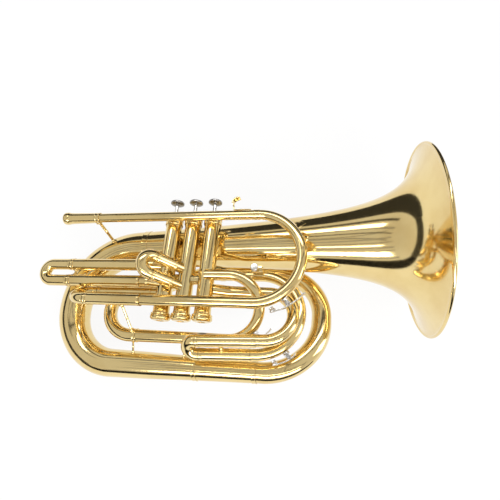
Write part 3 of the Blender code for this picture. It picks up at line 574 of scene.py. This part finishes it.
def makeBranch():
    tail = bellTail - bellWay * gap
    knee = tail + bellWay * ((branch["bowLeft"] - tail.x) / bellWay.x)
    low, y = branch["low"], branch["y"]
    left = pipeRun([tail, knee, (branch["bowLeft"], y, low), (branch["splitLeft"] - gap, y, low)],
                   branch["bowBends"], 3)
    obj = sweep(gauge(left, [(0, bellRadius(bellLength)), (0.165, 0.0218), (0.205, 0.0204), (0.255, 0.0194),
                             (-0.065, 0.0180), (-0.0001, 0.0158)]), branch["wall"], 64)
    place(obj, "leftBowTube", "instrument", brass, "left_bow")
    lower = [Vector((branch["splitLeft"], y, low)), Vector((branch["splitRight"], y, low))]
    obj = sweep(gauge(lower, [(0, 0.0158), (-0.0001, 0.0138)]), branch["wall"], 64)
    rings = [ferrule(lower[0] + Vector((0.003, 0, 0)), (1, 0, 0), 0.0156, 0.0060, 0.0006, 0.0002),
             ferrule(lower[1] - Vector((0.003, 0, 0)), (1, 0, 0), 0.0138, 0.0060, 0.0006, 0.0002)]
    place(joinAll([obj] + rings), "lowerBranchTube", "instrument", brass, "lower_branch")
    start = Vector((branch["splitRight"] + gap, y, low))
    across = Vector((0, branch["upperY"] - y, branch["upperZ"] - low))
    far = Vector((branch["bowRight"], start.y, start.z))
    obj = sweep(gauge(pipeRun([start, far, far + across, start + across], 0.0735, 3),
                      [(0, 0.0138), (0.10, 0.0138), (-0.0001, 0.0121)]), branch["wall"], 48)
    place(obj, "rightBowTube", "instrument", brass, "right_bow")
    upperEnd = start + across
    upperStart = Vector((branch["upperX"], branch["upperY"], branch["upperZ"]))
    obj = sweep([(upperEnd - Vector((gap, 0, 0)), 0.0120), (upperStart, 0.0120)], branch["wall"], 48)
    rings = [ferrule(upperStart + Vector((0.003, 0, 0)), (1, 0, 0), 0.0120, 0.0060, 0.0006, 0.0002),
             ferrule(upperEnd - Vector((0.0033, 0, 0)), (1, 0, 0), 0.0120, 0.0060, 0.0006, 0.0002)]
    place(joinAll([obj] + rings), "upperBranchTube", "instrument", brass, "upper_branch")
    innerLow, innerTop = Vector(branch["innerLow"]), Vector(branch["innerTop"])
    rise = pipeRun([innerTop + Vector((gap, 0, 0)), (-0.050, innerTop.y, innerTop.z),
                    (-0.002, branch["upperY"], branch["upperZ"]), upperStart - Vector((gap, 0, 0))], 0.034)
    obj = sweep(gauge(rise, [(0, 0.0100), (-0.0001, 0.0120)]), tube["wall"], 48)
    place(obj, "risingBranchTube", "instrument", brass, "rising_branch")
    bow = pipeRun([innerTop, (branch["innerLeft"], innerTop.y, innerTop.z),
                   (branch["innerLeft"], innerLow.y, innerLow.z),
                   innerLow], branch["innerBends"], 3)
    obj = sweep(gauge(bow, [(0, 0.0100), (-0.0001, 0.0086)]), tube["wall"], 48)
    rings = [ferrule(innerTop - Vector((0.0024, 0, 0)), (1, 0, 0), 0.0100, 0.0048, 0.0004),
             ferrule(innerLow - Vector((0.0024, 0, 0)), (1, 0, 0), 0.0086, 0.0048, 0.0004)]
    x1, x2 = branch["stayX"]
    stay = post((x1, innerLow.y, innerLow.z), 0.0084, (x1 - 0.0078, y, low), 0.0182, 0.0013, 0.0008, 2.0)
    place(joinAll([obj, stay] + rings), "innerBowTube", "instrument", brass, "inner_left_bow")
    feedTop = Vector(branch["feedTop"])
    loopTop = Vector((branch["feedLoopX"], feedTop.y, feedTop.z))
    loop = uTurn(loopTop, Vector((branch["feedLoopX"], innerLow.y, innerLow.z)) - loopTop, (1, 0, 0), 0)
    feed = [feedTop] + loop + [innerLow + Vector((gap, 0, 0))]
    obj = trimByCasings(sweep(gauge(feed, [(0, tube["radius"]), (-0.14, tube["radius"]), (-0.0001, 0.0085)]),
                              tube["wall"], 40), 3)
    stay = post((x2, innerLow.y, innerLow.z), 0.0076, (x2 - 0.0056, y, low), 0.0162, 0.0013, 0.0008, 2.0)
    place(joinAll([obj, stay]), "feedTubeFine", "instrument", brass, "feed_tube")
    print("branch made")


# mouthpiece receiver and leadpipe
lead = {"y": -0.024, "top": 0.139, "low": 0.0215, "bendX": 0.0979, "radius": 0.0064, "receiverEnd": -0.132,
        "receiverMouth": -0.1895, "bore": 0.0056, "mouth": 0.0088, "sleeveEnd": -0.0480}


def makeLeadpipe():
    length = lead["receiverEnd"] - lead["receiverMouth"]
    mouth, bore = lead["mouth"], lead["bore"]
    outline = [(0.0067, length - 0.013), (0.0067, length), (0.0074, length), (0.0075, length - 0.0006),
               (0.0075, length - 0.0016), (0.0073, length - 0.0020), (0.0073, length - 0.0054),
               (0.0075, length - 0.0058),
               (0.0075, length - 0.0066), (0.0073, length - 0.0070), (0.0074, length - 0.016),
               (0.0079, 0.014),
               (0.0082, 0.0095), (mouth, 0.0074), (0.0090, 0.0050), (0.0089, 0.0024), (0.0083, 0.0007),
               (0.0073, 0.0),
               (0.0064, 0.0004), (0.0060, 0.0014), (bore, 0.0045), (bore, length - 0.0145)]
    obj = standAt(spin(soften(outline, 0.0006), 72, True), (lead["receiverMouth"], lead["y"], lead["top"]),
                  (1, 0, 0))
    place(obj, "receiverSleeve", "instrument", brass, "mouthpiece_receiver")
    start = Vector((lead["receiverEnd"] - 0.012, lead["y"], lead["top"]))
    stop = Vector((lead["bendX"] - stub, lead["y"], lead["top"]))
    obj = sweep([(start, lead["radius"]), (stop - Vector((gap, 0, 0)), lead["radius"])], tube["wall"], 40)
    place(obj, "leadpipeTube", "instrument", brass, "leadpipe")
    drop = Vector((0, 0, lead["low"] - lead["top"]))
    obj = sweep(gauge(uTurn(stop, drop, (1, 0, 0), stub, 3),
                      [(0, lead["radius"]), (0.06, 0.0069), (-0.0001, tube["radius"])]), tube["wall"], 40)
    rings = [ferrule(stop + Vector((0.0003, 0, 0)), (1, 0, 0), lead["radius"], 0.0070, 0.0003, 0.0001),
             ferrule(stop + drop + Vector((0.0003, 0, 0)), (1, 0, 0), tube["radius"], 0.0070, 0.0003, 0.0001)]
    place(joinAll([obj] + rings), "leadpipeBendTube", "instrument", brass, "leadpipe_bend")
    obj = sweep([(stop + drop - Vector((gap, 0, 0)), tube["radius"]),
                 (Vector((lead["sleeveEnd"] + gap, lead["y"], lead["low"])), tube["radius"])], tube["wall"],
                 40)
    place(obj, "lowerLegTube", "instrument", brass, "lower_leadpipe_leg")
    print("leadpipe made")


# slides: fixed sleeves, and the crooks that draw out of them
slide = {"mainEnd": -0.1285, "mainRoot": -0.0480, "returnY": 0.005, "returnZ": 0.0385,
         "firstEnd": -0.170, "firstRoot": -0.060, "firstY": -0.010, "firstTop": 0.0735, "firstLow": 0.0500,
         "secondOut": (-0.62, -0.77, 0.13), "secondTop": (0, 0, 0.0690), "secondDrop": -0.0243,
         "secondStub": 0.019, "secondReach": 0.049,
         "thirdLean": (1.0, 0.0, 0.042), "thirdOne": (0.103, -0.006, -0.0210),
         "thirdTwo": (0.094, 0.012, -0.0360),
         "thirdLength": 0.076, "outerTurnX": 0.0975}


def makeSleeve(knuckle, valveEnd, openEnd, casing=None):
    knuckle = [Vector(p) for p in knuckle]
    valveEnd, openEnd = Vector(valveEnd), Vector(openEnd)
    way = (openEnd - valveEnd).normalized()
    body = sweep([(valveEnd, tube["sleeve"]), (openEnd, tube["sleeve"])], tube["sleeveWall"], 40)
    rings = [ferrule(openEnd - way * 0.0022, way, tube["sleeve"], 0.0040, 0.0002, 0.0002),
             ferrule(valveEnd + way * 0.0018, way, tube["sleeve"], 0.0032, 0.0001, 0.0001)]
    if knuckle:
        neck = sweep(gauge(knuckle + [valveEnd + way * 0.0006], [(0, tube["radius"])]), tube["wall"], 40)
        rings.append(trimByCasings(neck, casing) if casing else neck)
    return joinAll([body] + rings)


def makeCrook(name, body, node, start, across, out, legsIn, legsOut, bowRadius=None):
    start, across, out = Vector(start), Vector(across), Vector(out).normalized()
    bowRadius = bowRadius or tube["bow"]
    first = 2 * gap
    bow = uTurn(start + out * first, across, out, legsOut - first)
    shell = sweep(gauge(bow, [(0, bowRadius)]), tube["wall"], 40)
    rings = [ferrule(start + out * (first + 0.0018), out, bowRadius, 0.0034, 0.0002, 0.0001),
             ferrule(start + across + out * (first + 0.0018), out, bowRadius, 0.0034, 0.0002, 0.0001)]
    place(joinAll([shell] + rings), name + "Bow", body, brass, node)
    legs = [sweep([(p - out * legsIn, tube["inner"]), (p + out * 0.004, tube["inner"])], 0.0005, 40)
            for p in (start, start + across)]
    place(joinAll(legs), name + "Legs", body, nickel)


def makeSlides():
    y, low = lead["y"], lead["low"]
    lower = Vector((slide["mainEnd"], y, low))
    back = Vector((slide["mainEnd"], slide["returnY"], slide["returnZ"]))
    place(makeSleeve([], (slide["mainRoot"], y, low), lower), "mainLowerSleeve", "instrument", brass,
          "main_slide_lower_sleeve")
    place(makeSleeve([(casingX(1), back.y, back.z)], (slide["mainRoot"], back.y, back.z), back, 1),
          "mainReturnSleeve",
          "instrument", brass, "main_slide_return_sleeve")
    makeCrook("mainSlide", "main_slide", "main_slide_crook", lower, back - lower, (-1, 0, 0), 0.064, 0.006)

    x, end, root = casingX(1), slide["firstEnd"], slide["firstRoot"]
    top = Vector((end, slide["firstY"], slide["firstTop"]))
    low = Vector((end, slide["firstY"], slide["firstLow"]))
    upperNeck = pipeRun([(x, -0.001, top.z + 0.002), (-0.050, top.y, top.z), (root, top.y, top.z)],
                        0.012)[:-1]
    lowerNeck = pipeRun([(x, -0.003, low.z - 0.001), (-0.050, low.y, low.z), (root, low.y, low.z)],
                        0.012)[:-1]
    stay = post((end + 0.007, top.y, top.z), tube["sleeve"], (end + 0.007, low.y, low.z), tube["sleeve"],
                0.0016)
    place(joinAll([makeSleeve(upperNeck, (root, top.y, top.z), top, 1),
                   makeSleeve(lowerNeck, (root, low.y, low.z), low, 1), stay]),
          "firstSlideSleeves", "instrument", brass, "first_slide_sleeves")
    makeCrook("firstSlide", "first_slide", "first_slide_crook", top, low - top, (-1, 0, 0), 0.088, 0.030)

    out = Vector(slide["secondOut"]).normalized()
    top = Vector(slide["secondTop"])
    drop = Vector((0, 0, slide["secondDrop"]))
    drop = drop - out * drop.dot(out)
    stubOut, reach = slide["secondStub"], slide["secondReach"]
    stay = post(top + out * (stubOut + 0.010), tube["sleeve"], top + drop + out * (stubOut + 0.010),
                tube["sleeve"], 0.0016)
    place(joinAll([makeSleeve([top], top + out * stubOut, top + out * reach, 2),
                   makeSleeve([top + drop], top + drop + out * stubOut, top + drop + out * reach, 2), stay]),
          "secondSlideSleeves", "instrument", brass, "second_slide_sleeves")
    makeCrook("secondSlide", "second_slide", "second_slide_crook", top + out * reach, drop, out, 0.027, 0.003)

    lean = Vector(slide["thirdLean"]).normalized()
    one, two = Vector(slide["thirdOne"]), Vector(slide["thirdTwo"])
    oneEnd = one - lean * slide["thirdLength"]
    across = two - one
    across -= lean * across.dot(lean)
    twoEnd = oneEnd + across
    stay = post(oneEnd + lean * 0.030, tube["sleeve"], twoEnd + lean * 0.030, tube["sleeve"], 0.0016)
    place(joinAll([makeSleeve([], one, oneEnd), makeSleeve([], two, twoEnd), stay]), "thirdSlideSleeves",
          "instrument",
          brass, "third_slide_sleeves")
    makeCrook("thirdSlide", "third_slide", "third_slide_crook", oneEnd, across, -lean, 0.060, 0.003)
    x = casingX(3)
    innerLow, innerTop = Vector((0.112, -0.006, -0.0206)), Vector((0.112, 0.014, 0.0435))
    inner = uTurn(innerLow, innerTop - innerLow, (1, 0, 0), 0)
    innerRun = [one + lean * gap] + inner[:-1]
    innerRun += pipeRun([innerTop, (0.060, innerTop.y, 0.0445), (x, 0.003, 0.0450)], 0.016)
    outerLow = Vector((slide["outerTurnX"], 0.012, -0.0357))
    outerTop = Vector((slide["outerTurnX"], 0.031, 0.0720))
    outer = uTurn(outerLow, outerTop - outerLow, (1, 0, 0), 0)
    outerRun = [two + lean * gap] + outer[:-1]
    outerRun += pipeRun([outerTop, (0.066, outerTop.y, outerTop.z), (x, 0.004, outerTop.z)], 0.016)
    for name, node, run in (("thirdInnerBow", "third_slide_inner_bow", innerRun),
                            ("thirdOuterBow", "third_slide_outer_bow", outerRun)):
        obj = trimByCasings(sweep(gauge(run, [(0, tube["bow"] - 0.0002)]), tube["wall"], 40), 3)
        place(obj, name, "instrument", brass, node)
    print("slides made")


# valves
valve = {"pitch": 0.0287, "casingRadius": 0.0110, "bore": 0.0093, "bottom": 0.0033, "top": 0.1410,
         "capRadius": 0.0137, "capHeight": 0.0095, "topCapRadius": 0.0125, "topCapLow": 0.1350,
         "topCapHigh": 0.1495,
         "piston": 0.0090, "pistonLow": 0.0220, "pistonHigh": 0.1200, "stem": 0.0026, "button": 0.0098,
         "buttonLow": 0.1683, "buttonHigh": 0.1728, "port": 0.0062, "knuckle": 0.0565}


def casingX(number):
    return (number - 2) * valve["pitch"]


def valvePorts(number):
    k = valve["knuckle"]
    ports = {1: [((-1, 0.25, 0), 0.0385), ((-1, -0.10, 0), 0.0755), ((-1, -0.2, 0), 0.0490), ((1, 0, 0), k)],
             2: [((-1, 0, 0), k), ((1, 0, 0), k), ((-0.62, -0.77, 0), 0.0705), ((-0.62, -0.77, 0), 0.0470)],
             3: [((-1, 0, 0), k), ((0.7, -0.7, 0), 0.0613), ((1, 0.3, 0), 0.0450), ((0.9, 0.5, 0), 0.0720)]}
    return [(Vector((0, 0, height)), Vector(way).normalized()) for way, height in ports[number]]


def drill(obj, start, end, radius):
    start, end = Vector(start), Vector(end)
    deselectAll()
    bpy.ops.mesh.primitive_cylinder_add(vertices=48, radius=radius, depth=(end - start).length)
    bit = standAt(bpy.context.object, (start + end) / 2, end - start)
    applyModifier(obj, "BOOLEAN", operation="DIFFERENCE", object=bit, solver="EXACT")
    bpy.data.objects.remove(bit, do_unlink=True)
    return obj


def makeValve(number):
    v, at = valve, Vector((casingX(number), 0, 0))
    casing = spin([(v["casingRadius"], v["top"]), (v["casingRadius"], v["bottom"]), (v["bore"], v["bottom"]),
                   (v["bore"], v["top"])], 96, True)
    for centre, way in valvePorts(number):
        drill(casing, centre + way * 0.004, centre + way * 0.016, v["port"])
    rings = [ferrule((0, 0, v["topCapLow"] - 0.0014), (0, 0, 1), v["casingRadius"], 0.0022, 0.0002, 0.0001),
             ferrule((0, 0, v["capHeight"] + 0.0018), (0, 0, 1), v["casingRadius"], 0.0022, 0.0002, 0.0001)]
    place(standAt(joinAll([casing] + rings), at, (0, 0, 1)), f"valveCasing{number}", "instrument", brass,
          f"valve_casing_{number}")
    seat, c, h = v["casingRadius"] + gap, v["capRadius"], v["capHeight"]
    cap = [(0, 0.0018), (seat, 0.0018), (seat, h), (c - 0.0012, h), (c - 0.0003, h - 0.0008),
           (c - 0.0003, h - 0.0016),
           (c - 0.0008, h - 0.0020), (c - 0.0008, h - 0.0028), (c - 0.0002, h - 0.0032), (c, 0.0032),
           (c - 0.0005, 0.0019),
           (c - 0.0026, 0.0004), (0.0080, 0.0), (0.0056, 0.0), (0.0048, 0.0007), (0.0020, 0.0010),
           (0, 0.0010)]
    place(standAt(spin(soften(cap, 0.0004), 96), at, (0, 0, 1)), f"bottomCap{number}", "instrument", brass,
          f"bottom_cap_{number}")
    hole, c, low, high = v["stem"] + 0.0005, v["topCapRadius"], v["topCapLow"], v["topCapHigh"]
    cap = [(hole, high), (0.0070, high), (0.0082, high - 0.0010), (0.0086, high - 0.0028),
           (c - 0.0008, high - 0.0034),
           (c, high - 0.0044), (c, high - 0.0075), (c - 0.0005, high - 0.0079), (c - 0.0005, high - 0.0090),
           (c, high - 0.0094), (c, low + 0.0006), (c - 0.0006, low), (seat, low), (seat, v["top"] + gap),
           (hole, v["top"] + gap)]
    place(standAt(spin(soften(cap, 0.0004), 96, True), at, (0, 0, 1)), f"topCap{number}", "instrument", brass,
          f"top_cap_{number}")
    b, s, p = v["buttonLow"], v["stem"], v["piston"]
    low, high = v["pistonLow"], v["pistonHigh"]
    body = [(0, b + 0.0006), (s, b + 0.0006), (s, high + 0.0130), (s + 0.0006, high + 0.0124),
            (0.0050, high + 0.0110),
            (0.0050, high), (p - 0.0004, high), (p, high - 0.0004), (p, low + 0.0004), (p - 0.0004, low),
            (0.0070, low),
            (0.0070, low + 0.007), (0, low + 0.007)]
    piston = spin(body, 72)
    for centre, way in valvePorts(number)[:2]:
        drill(piston, centre - way * 0.02, centre + way * 0.02, v["port"] - 0.0004)
    place(standAt(piston, at, (0, 0, 1)), f"pistonBody{number}", f"valve_{number}", nickel,
          f"piston_{number}")
    r, t = v["button"], v["buttonHigh"]
    button = [(0, t - 0.0008), (0.0076, t - 0.0007), (0.0083, t - 0.0001), (0.0088, t),
              (r - 0.0003, t - 0.0005),
              (r, t - 0.0012), (r, t - 0.0029), (r - 0.0005, t - 0.0034), (0.0078, b + 0.0006), (0.0060, b),
              (0, b)]
    place(standAt(spin(soften(button, 0.0005), 72), at, (0, 0, 1)), f"fingerButton{number}",
          f"valve_{number}", dullPlate,
          f"finger_button_{number}")
    inlay = [(0, t - 0.0001), (0.0060, t - 0.00015), (0.0078, t - 0.0004), (0.0080, t - 0.0007),
             (0, t - 0.0007)]
    place(standAt(spin(inlay, 64), at, (0, 0, 1)), f"buttonInlay{number}", f"valve_{number}", inlayShell)
    washer = [(s + 0.0002, 0), (0.0062, 0), (0.0066, 0.0005), (0.0066, 0.0016), (0.0060, 0.0021),
              (s + 0.0002, 0.0021)]
    place(standAt(spin(soften(washer, 0.0003), 48, True), at + Vector((0, 0, v["topCapHigh"] + 0.0001)),
                  (0, 0, 1)),
          f"feltWasher{number}", "instrument", felt)


def makeValves():
    for number in (1, 2, 3):
        makeValve(number)
    for number in (1, 2):
        run = [(Vector((casingX(number), 0, valve["knuckle"])), tube["radius"]),
               (Vector((casingX(number + 1), 0, valve["knuckle"])), tube["radius"])]
        place(trimByCasings(sweep(run, tube["wall"], 40), number, number + 1), f"valveCrossover{number}",
              "instrument",
              brass, f"valve_crossover_{number}")
    print("valves made")


# water keys
waterKey = {"pinHeight": 0.0060, "wire": 0.00035, "coilRadius": 0.0021, "coilPitch": 0.00125, "coilTurns": 3}


def helix(centre, axis, side, radius, pitch, turns, curl=24):
    centre, axis, side = Vector(centre), Vector(axis).normalized(), Vector(side).normalized()
    return [centre + axis * (pitch * i / curl)
            + Matrix.Rotation(2 * math.pi * i / curl, 3, axis) @ side * radius
            for i in range(int(turns * curl) + 1)]


def smoothLine(points, parts=6):
    # a smooth line through all the points
    points = [Vector(p) for p in points]
    ends = [points[0] * 2 - points[1]] + points + [points[-1] * 2 - points[-2]]
    out = []
    for a, b, c, d in zip(ends, ends[1:], ends[2:], ends[3:]):
        for i in range(parts):
            t = i / parts
            out.append(0.5 * (2 * b + (c - a) * t + (2 * a - 5 * b + 4 * c - d) * t * t
                              + (3 * b - a - 3 * c + d) * t ** 3))
    return out + [points[-1]]


def strip(path, sideways, widths, thick):
    # a flat bar along a path, with its own half width at each point
    deselectAll()
    bpy.ops.mesh.primitive_grid_add(x_subdivisions=len(path) - 1, y_subdivisions=6, size=2)
    bar = bpy.context.object
    for vertex in bar.data.vertices:
        i = round((vertex.co.x + 1) / 2 * (len(path) - 1))
        vertex.co = path[i] + Vector(sideways) * widths[i] * vertex.co.y
    applyModifier(bar, "SOLIDIFY", thickness=thick, offset=0)
    return applyModifier(bar, "BEVEL", width=thick * 0.3, segments=2, limit_method="ANGLE")


def makeWaterKey(number, seat, along, outward, finger, pad, rise):
    # the arms reach finger and pad from the pin, and the finger end stands rise off the tube
    seat, along, outward = Vector(seat), Vector(along).normalized(), Vector(outward).normalized()
    across = outward.cross(along)
    axes = Matrix((along, across, outward)).transposed().to_4x4()
    high = waterKey["pinHeight"]

    def at(u, v, w):
        return seat + along * u + across * v + outward * w

    def block(centre, size, bevel):
        deselectAll()
        bpy.ops.mesh.primitive_cube_add(size=1)
        obj = bpy.context.object
        obj.data.transform(Matrix.Translation(at(*centre)) @ axes @ Matrix.Diagonal((*size, 1)))
        return applyModifier(obj, "BEVEL", width=bevel, segments=3)

    pieces = [block((0, 0, 0.0011), (0.0080, 0.0116, 0.0010), 0.0003)]
    for side in (-1, 1):
        pieces.append(block((0, side * 0.0052, 0.0040), (0.0036, 0.0011, 0.0052), 0.0003))
        ear = spin(soften([(0, 0), (0.0022, 0), (0.0022, 0.0011), (0, 0.0011)], 0.0002), 32)
        pieces.append(standAt(ear, at(0, side * 0.0052 - 0.00055, high), across))
    pin = spin(soften([(0, 0), (0.0014, 0), (0.0014, 0.0006), (0.0009, 0.0007), (0.0009, 0.0121),
                       (0.0013, 0.0122),
                       (0.0013, 0.0128), (0, 0.0128)], 0.0002), 32)
    pieces.append(standAt(pin, at(0, -0.0064, high), across))
    place(joinAll(pieces), f"waterKeySaddle{number}", "instrument", nickel, f"water_key_{number}_saddle")
    arm = [(-pad - 0.0012, 0.0050), (-pad * 0.8, 0.0064), (-pad * 0.5, 0.0084), (-0.0020, 0.0098),
           (finger * 0.5, (0.0100 + rise) / 2 + 0.0006), (finger * 0.8, rise + 0.0004), (finger, rise)]
    path = smoothLine([at(u, 0, w) for u, w in arm], 6)
    n = len(path) - 1
    halves = [0.0018 + 0.0007 * math.sin(math.pi * i / n) ** 2
              + 0.0016 * max(0.0, (i / n - 0.74) / 0.26) ** 0.8
              for i in range(n + 1)]
    halves[-1] *= 0.72
    halves[0] *= 0.8
    pieces = [strip(path, across, halves, 0.0013)]
    barrel = spin(soften([(0.0013, 0.0034), (0.0030, 0.0034), (0.0030, 0), (0.0013, 0)], 0.0003), 40, True)
    pieces.append(standAt(barrel, at(0, -0.0042, high), across))
    pieces.append(sweep([(at(0, -0.0025, high + 0.0012), 0.0012), (at(0, -0.0004, 0.0099), 0.0012)], 0, 16))
    cup = spin(soften([(0, 0.0034), (0.0026, 0.0032), (0.0037, 0.0026), (0.0040, 0.0012), (0.0036, 0.0010),
                       (0, 0.0012)], 0.0004), 48)
    pieces.append(standAt(cup, at(-pad, 0, 0.0020), outward))
    place(joinAll(pieces), f"waterKeyLever{number}", f"water_key_{number}", nickel,
          f"water_key_{number}_lever")
    disc = spin(soften([(0, 0), (0.0033, 0), (0.0034, 0.0012), (0, 0.0012)], 0.0003), 40)
    place(standAt(disc, at(-pad, 0, 0.0021), outward), f"waterKeyCork{number}", f"water_key_{number}", cork)
    nipple = spin(soften([(0.0014, 0), (0.0030, 0), (0.0024, 0.0014), (0.0024, 0.0024), (0.0014, 0.0024)],
                         0.0002), 40, True)
    place(standAt(nipple, at(-pad, 0, -0.0004), outward), f"waterKeyNipple{number}", "instrument", nickel)
    coil = helix(at(0, -0.0002, high), across, -outward, waterKey["coilRadius"], waterKey["coilPitch"],
                 waterKey["coilTurns"])
    run = [coil[0] - along * 0.0040] + coil + [coil[-1] + along * 0.0040]
    place(sweep([(p, waterKey["wire"]) for p in run], 0, 12), f"waterKeySpring{number}", "instrument", steel,
          f"water_key_{number}_spring")


def onBend(centre, radius, degrees, y):
    turn = math.radians(degrees)
    outward = Vector((math.cos(turn), 0, math.sin(turn)))
    along = Vector((-math.sin(turn), 0, math.cos(turn)))
    return Vector((centre[0], y, centre[1])) + outward * radius, along, outward


def makeWaterKeys():
    centre = (lead["bendX"], (lead["top"] + lead["low"]) / 2)
    makeWaterKey(1, *onBend(centre, (lead["top"] - lead["low"]) / 2 + tube["radius"] + gap, -53, lead["y"]),
                 0.0240, 0.0195, 0.0085)
    makeWaterKey(2, *onBend((slide["outerTurnX"], 0.0182), 0.0539 + tube["bow"] + gap, -51, 0.0155),
                 0.0095, 0.0185, 0.0085)
    feedHigh, feedLow = branch["feedTop"][2], branch["innerLow"][2]
    makeWaterKey(3, *onBend((branch["feedLoopX"], (feedHigh + feedLow) / 2),
                            (feedHigh - feedLow) / 2 + tube["radius"] + gap, -40, 0.0100), 0.0180, 0.0120,
                            0.0120)
    print("water keys made")


# finger hook, lyre socket and braces
fitting = {"hookX": 0.0640, "socketWidth": 0.0088, "well": 0.0060, "socketX": 0.0930, "socketZ": 0.0770,
           "upperTurnY": 0.031,
           "screwRadius": 0.0053}


def makeFittings():
    hx, y = fitting["hookX"], lead["y"]
    foot = lead["top"] + lead["radius"] + gap + 0.0006
    curl = smoothLine([(hx + a, y, foot + b) for a, b in (
        (-0.0010, 0.0070), (-0.0018, 0.0088), (-0.0018, 0.0112), (-0.0006, 0.0138), (0.0018, 0.0159),
        (0.0046, 0.0172),
        (0.0076, 0.0176))], 5)
    n = len(curl) - 1
    halves = [0.0012 + 0.0032 * min(1.0, 4.5 * i / n) ** 0.7 - 0.0006 * max(0.0, i / n - 0.85) / 0.15
              for i in range(n + 1)]
    sole = [Vector((hx + 0.0240 - 0.0012 * i, y, foot)) for i in range(20)]
    pieces = [strip(curl, (0, 1, 0), halves, 0.0014),
              strip(sole, (0, 1, 0), [0.0014 + 0.0010 * math.sin(math.pi * i / 19) ** 0.5 for i in range(20)],
                    0.0010),
              sweep([(Vector((hx + 0.0024, y, foot + 0.0002)), 0.0007),
                     (Vector((hx + 0.0008, y, foot + 0.0010)), 0.0009),
                     (Vector((hx, y, foot + 0.0026)), 0.0010),
                     (Vector((hx - 0.0004, y, foot + 0.0060)), 0.0010),
                     (Vector((hx - 0.0013, y, foot + 0.0082)), 0.0007)], 0, 20)]
    place(joinAll(pieces), "fingerHookFine", "instrument", brass, "finger_hook")
    w = fitting["socketWidth"]
    middle = Vector((fitting["socketX"], fitting["upperTurnY"] - tube["bow"] - 2 * gap - w / 2,
                     fitting["socketZ"]))
    deselectAll()
    bpy.ops.mesh.primitive_cube_add(size=1)
    socket = bpy.context.object
    socket.data.transform(Matrix.Translation(middle) @ Matrix.Diagonal((0.0140, w, w, 1)))
    deselectAll()
    bpy.ops.mesh.primitive_cube_add(size=1)
    well = bpy.context.object
    hollow = fitting["well"]
    well.data.transform(Matrix.Translation(middle) @ Matrix.Diagonal((0.0200, hollow, hollow, 1)))
    applyModifier(socket, "BOOLEAN", operation="DIFFERENCE", object=well, solver="EXACT")
    bpy.data.objects.remove(well, do_unlink=True)
    applyModifier(socket, "BEVEL", width=0.0004, segments=3)
    place(socket, "lyreSocketBlock", "instrument", brass, "lyre_socket")
    at = middle + Vector((-0.002, -w / 2 - gap, 0))
    r = fitting["screwRadius"]
    knob = spin(soften([(0, 0.0085), (r - 0.0008, 0.0085), (r, 0.0078), (r, 0.0042), (r - 0.0008, 0.0036),
                        (0.0014, 0.0034),
                        (0.0014, 0), (0, 0)], 0.0003), 48)
    place(standAt(knob, at, (0, -1, 0)), "lyreThumbscrew", "lyre_thumbscrew", nickel, "lyre_screw")
    tailAt = Vector((-0.1225, 0.0354, 0.1074))
    place(post((-0.1395, y, lead["top"]), 0.0074, tailAt, 0.0250, 0.0021, 0.0012), "receiverBrace",
          "instrument", brass,
          "receiver_brace")
    bellAt = bellTail.lerp(bellRim, 0.63)
    centre = (lead["bendX"], (lead["top"] + lead["low"]) / 2)
    bendAt = onBend(centre, (lead["top"] - lead["low"]) / 2, 33, y)[0]
    radius = bellRadius((bellRim - bellAt).length)
    way = (bellAt - bendAt).normalized()
    foot = footPlate(bpy.data.objects["bellShell"], bellAt - way * (radius + 0.001), -way, 0.0200, 0.0110,
                     0.0006, 4)
    place(joinAll([post(bendAt, tube["radius"], bellAt, radius, 0.0017, 0.0012), foot]), "bellBrace",
          "instrument",
          brass, "bell_brace")
    place(post((-0.078, y, lead["low"]), tube["sleeve"], (-0.070, 0.014, -0.0185), 0.0086, 0.0017, 0.0008),
          "legBrace",
          "instrument", brass, "leg_brace")
    print("fittings made")


inlayShell = makeGrainy("buttonInlay", (0.20, 0.20, 0.21), (0.09, 0.09, 0.10), 160, 0.22, 0.05)
makeBell()
makeBranch()
makeLeadpipe()
makeValves()
makeSlides()
makeWaterKeys()
makeFittings()
for number in (1, 2, 3):        # the valve springs stay as they are, so that they squash with the pistons
    node = frame["nodes"][f"valve_spring_{number}"]
    node.data.materials.clear()
    node.data.materials.append(steel)
print("all made")
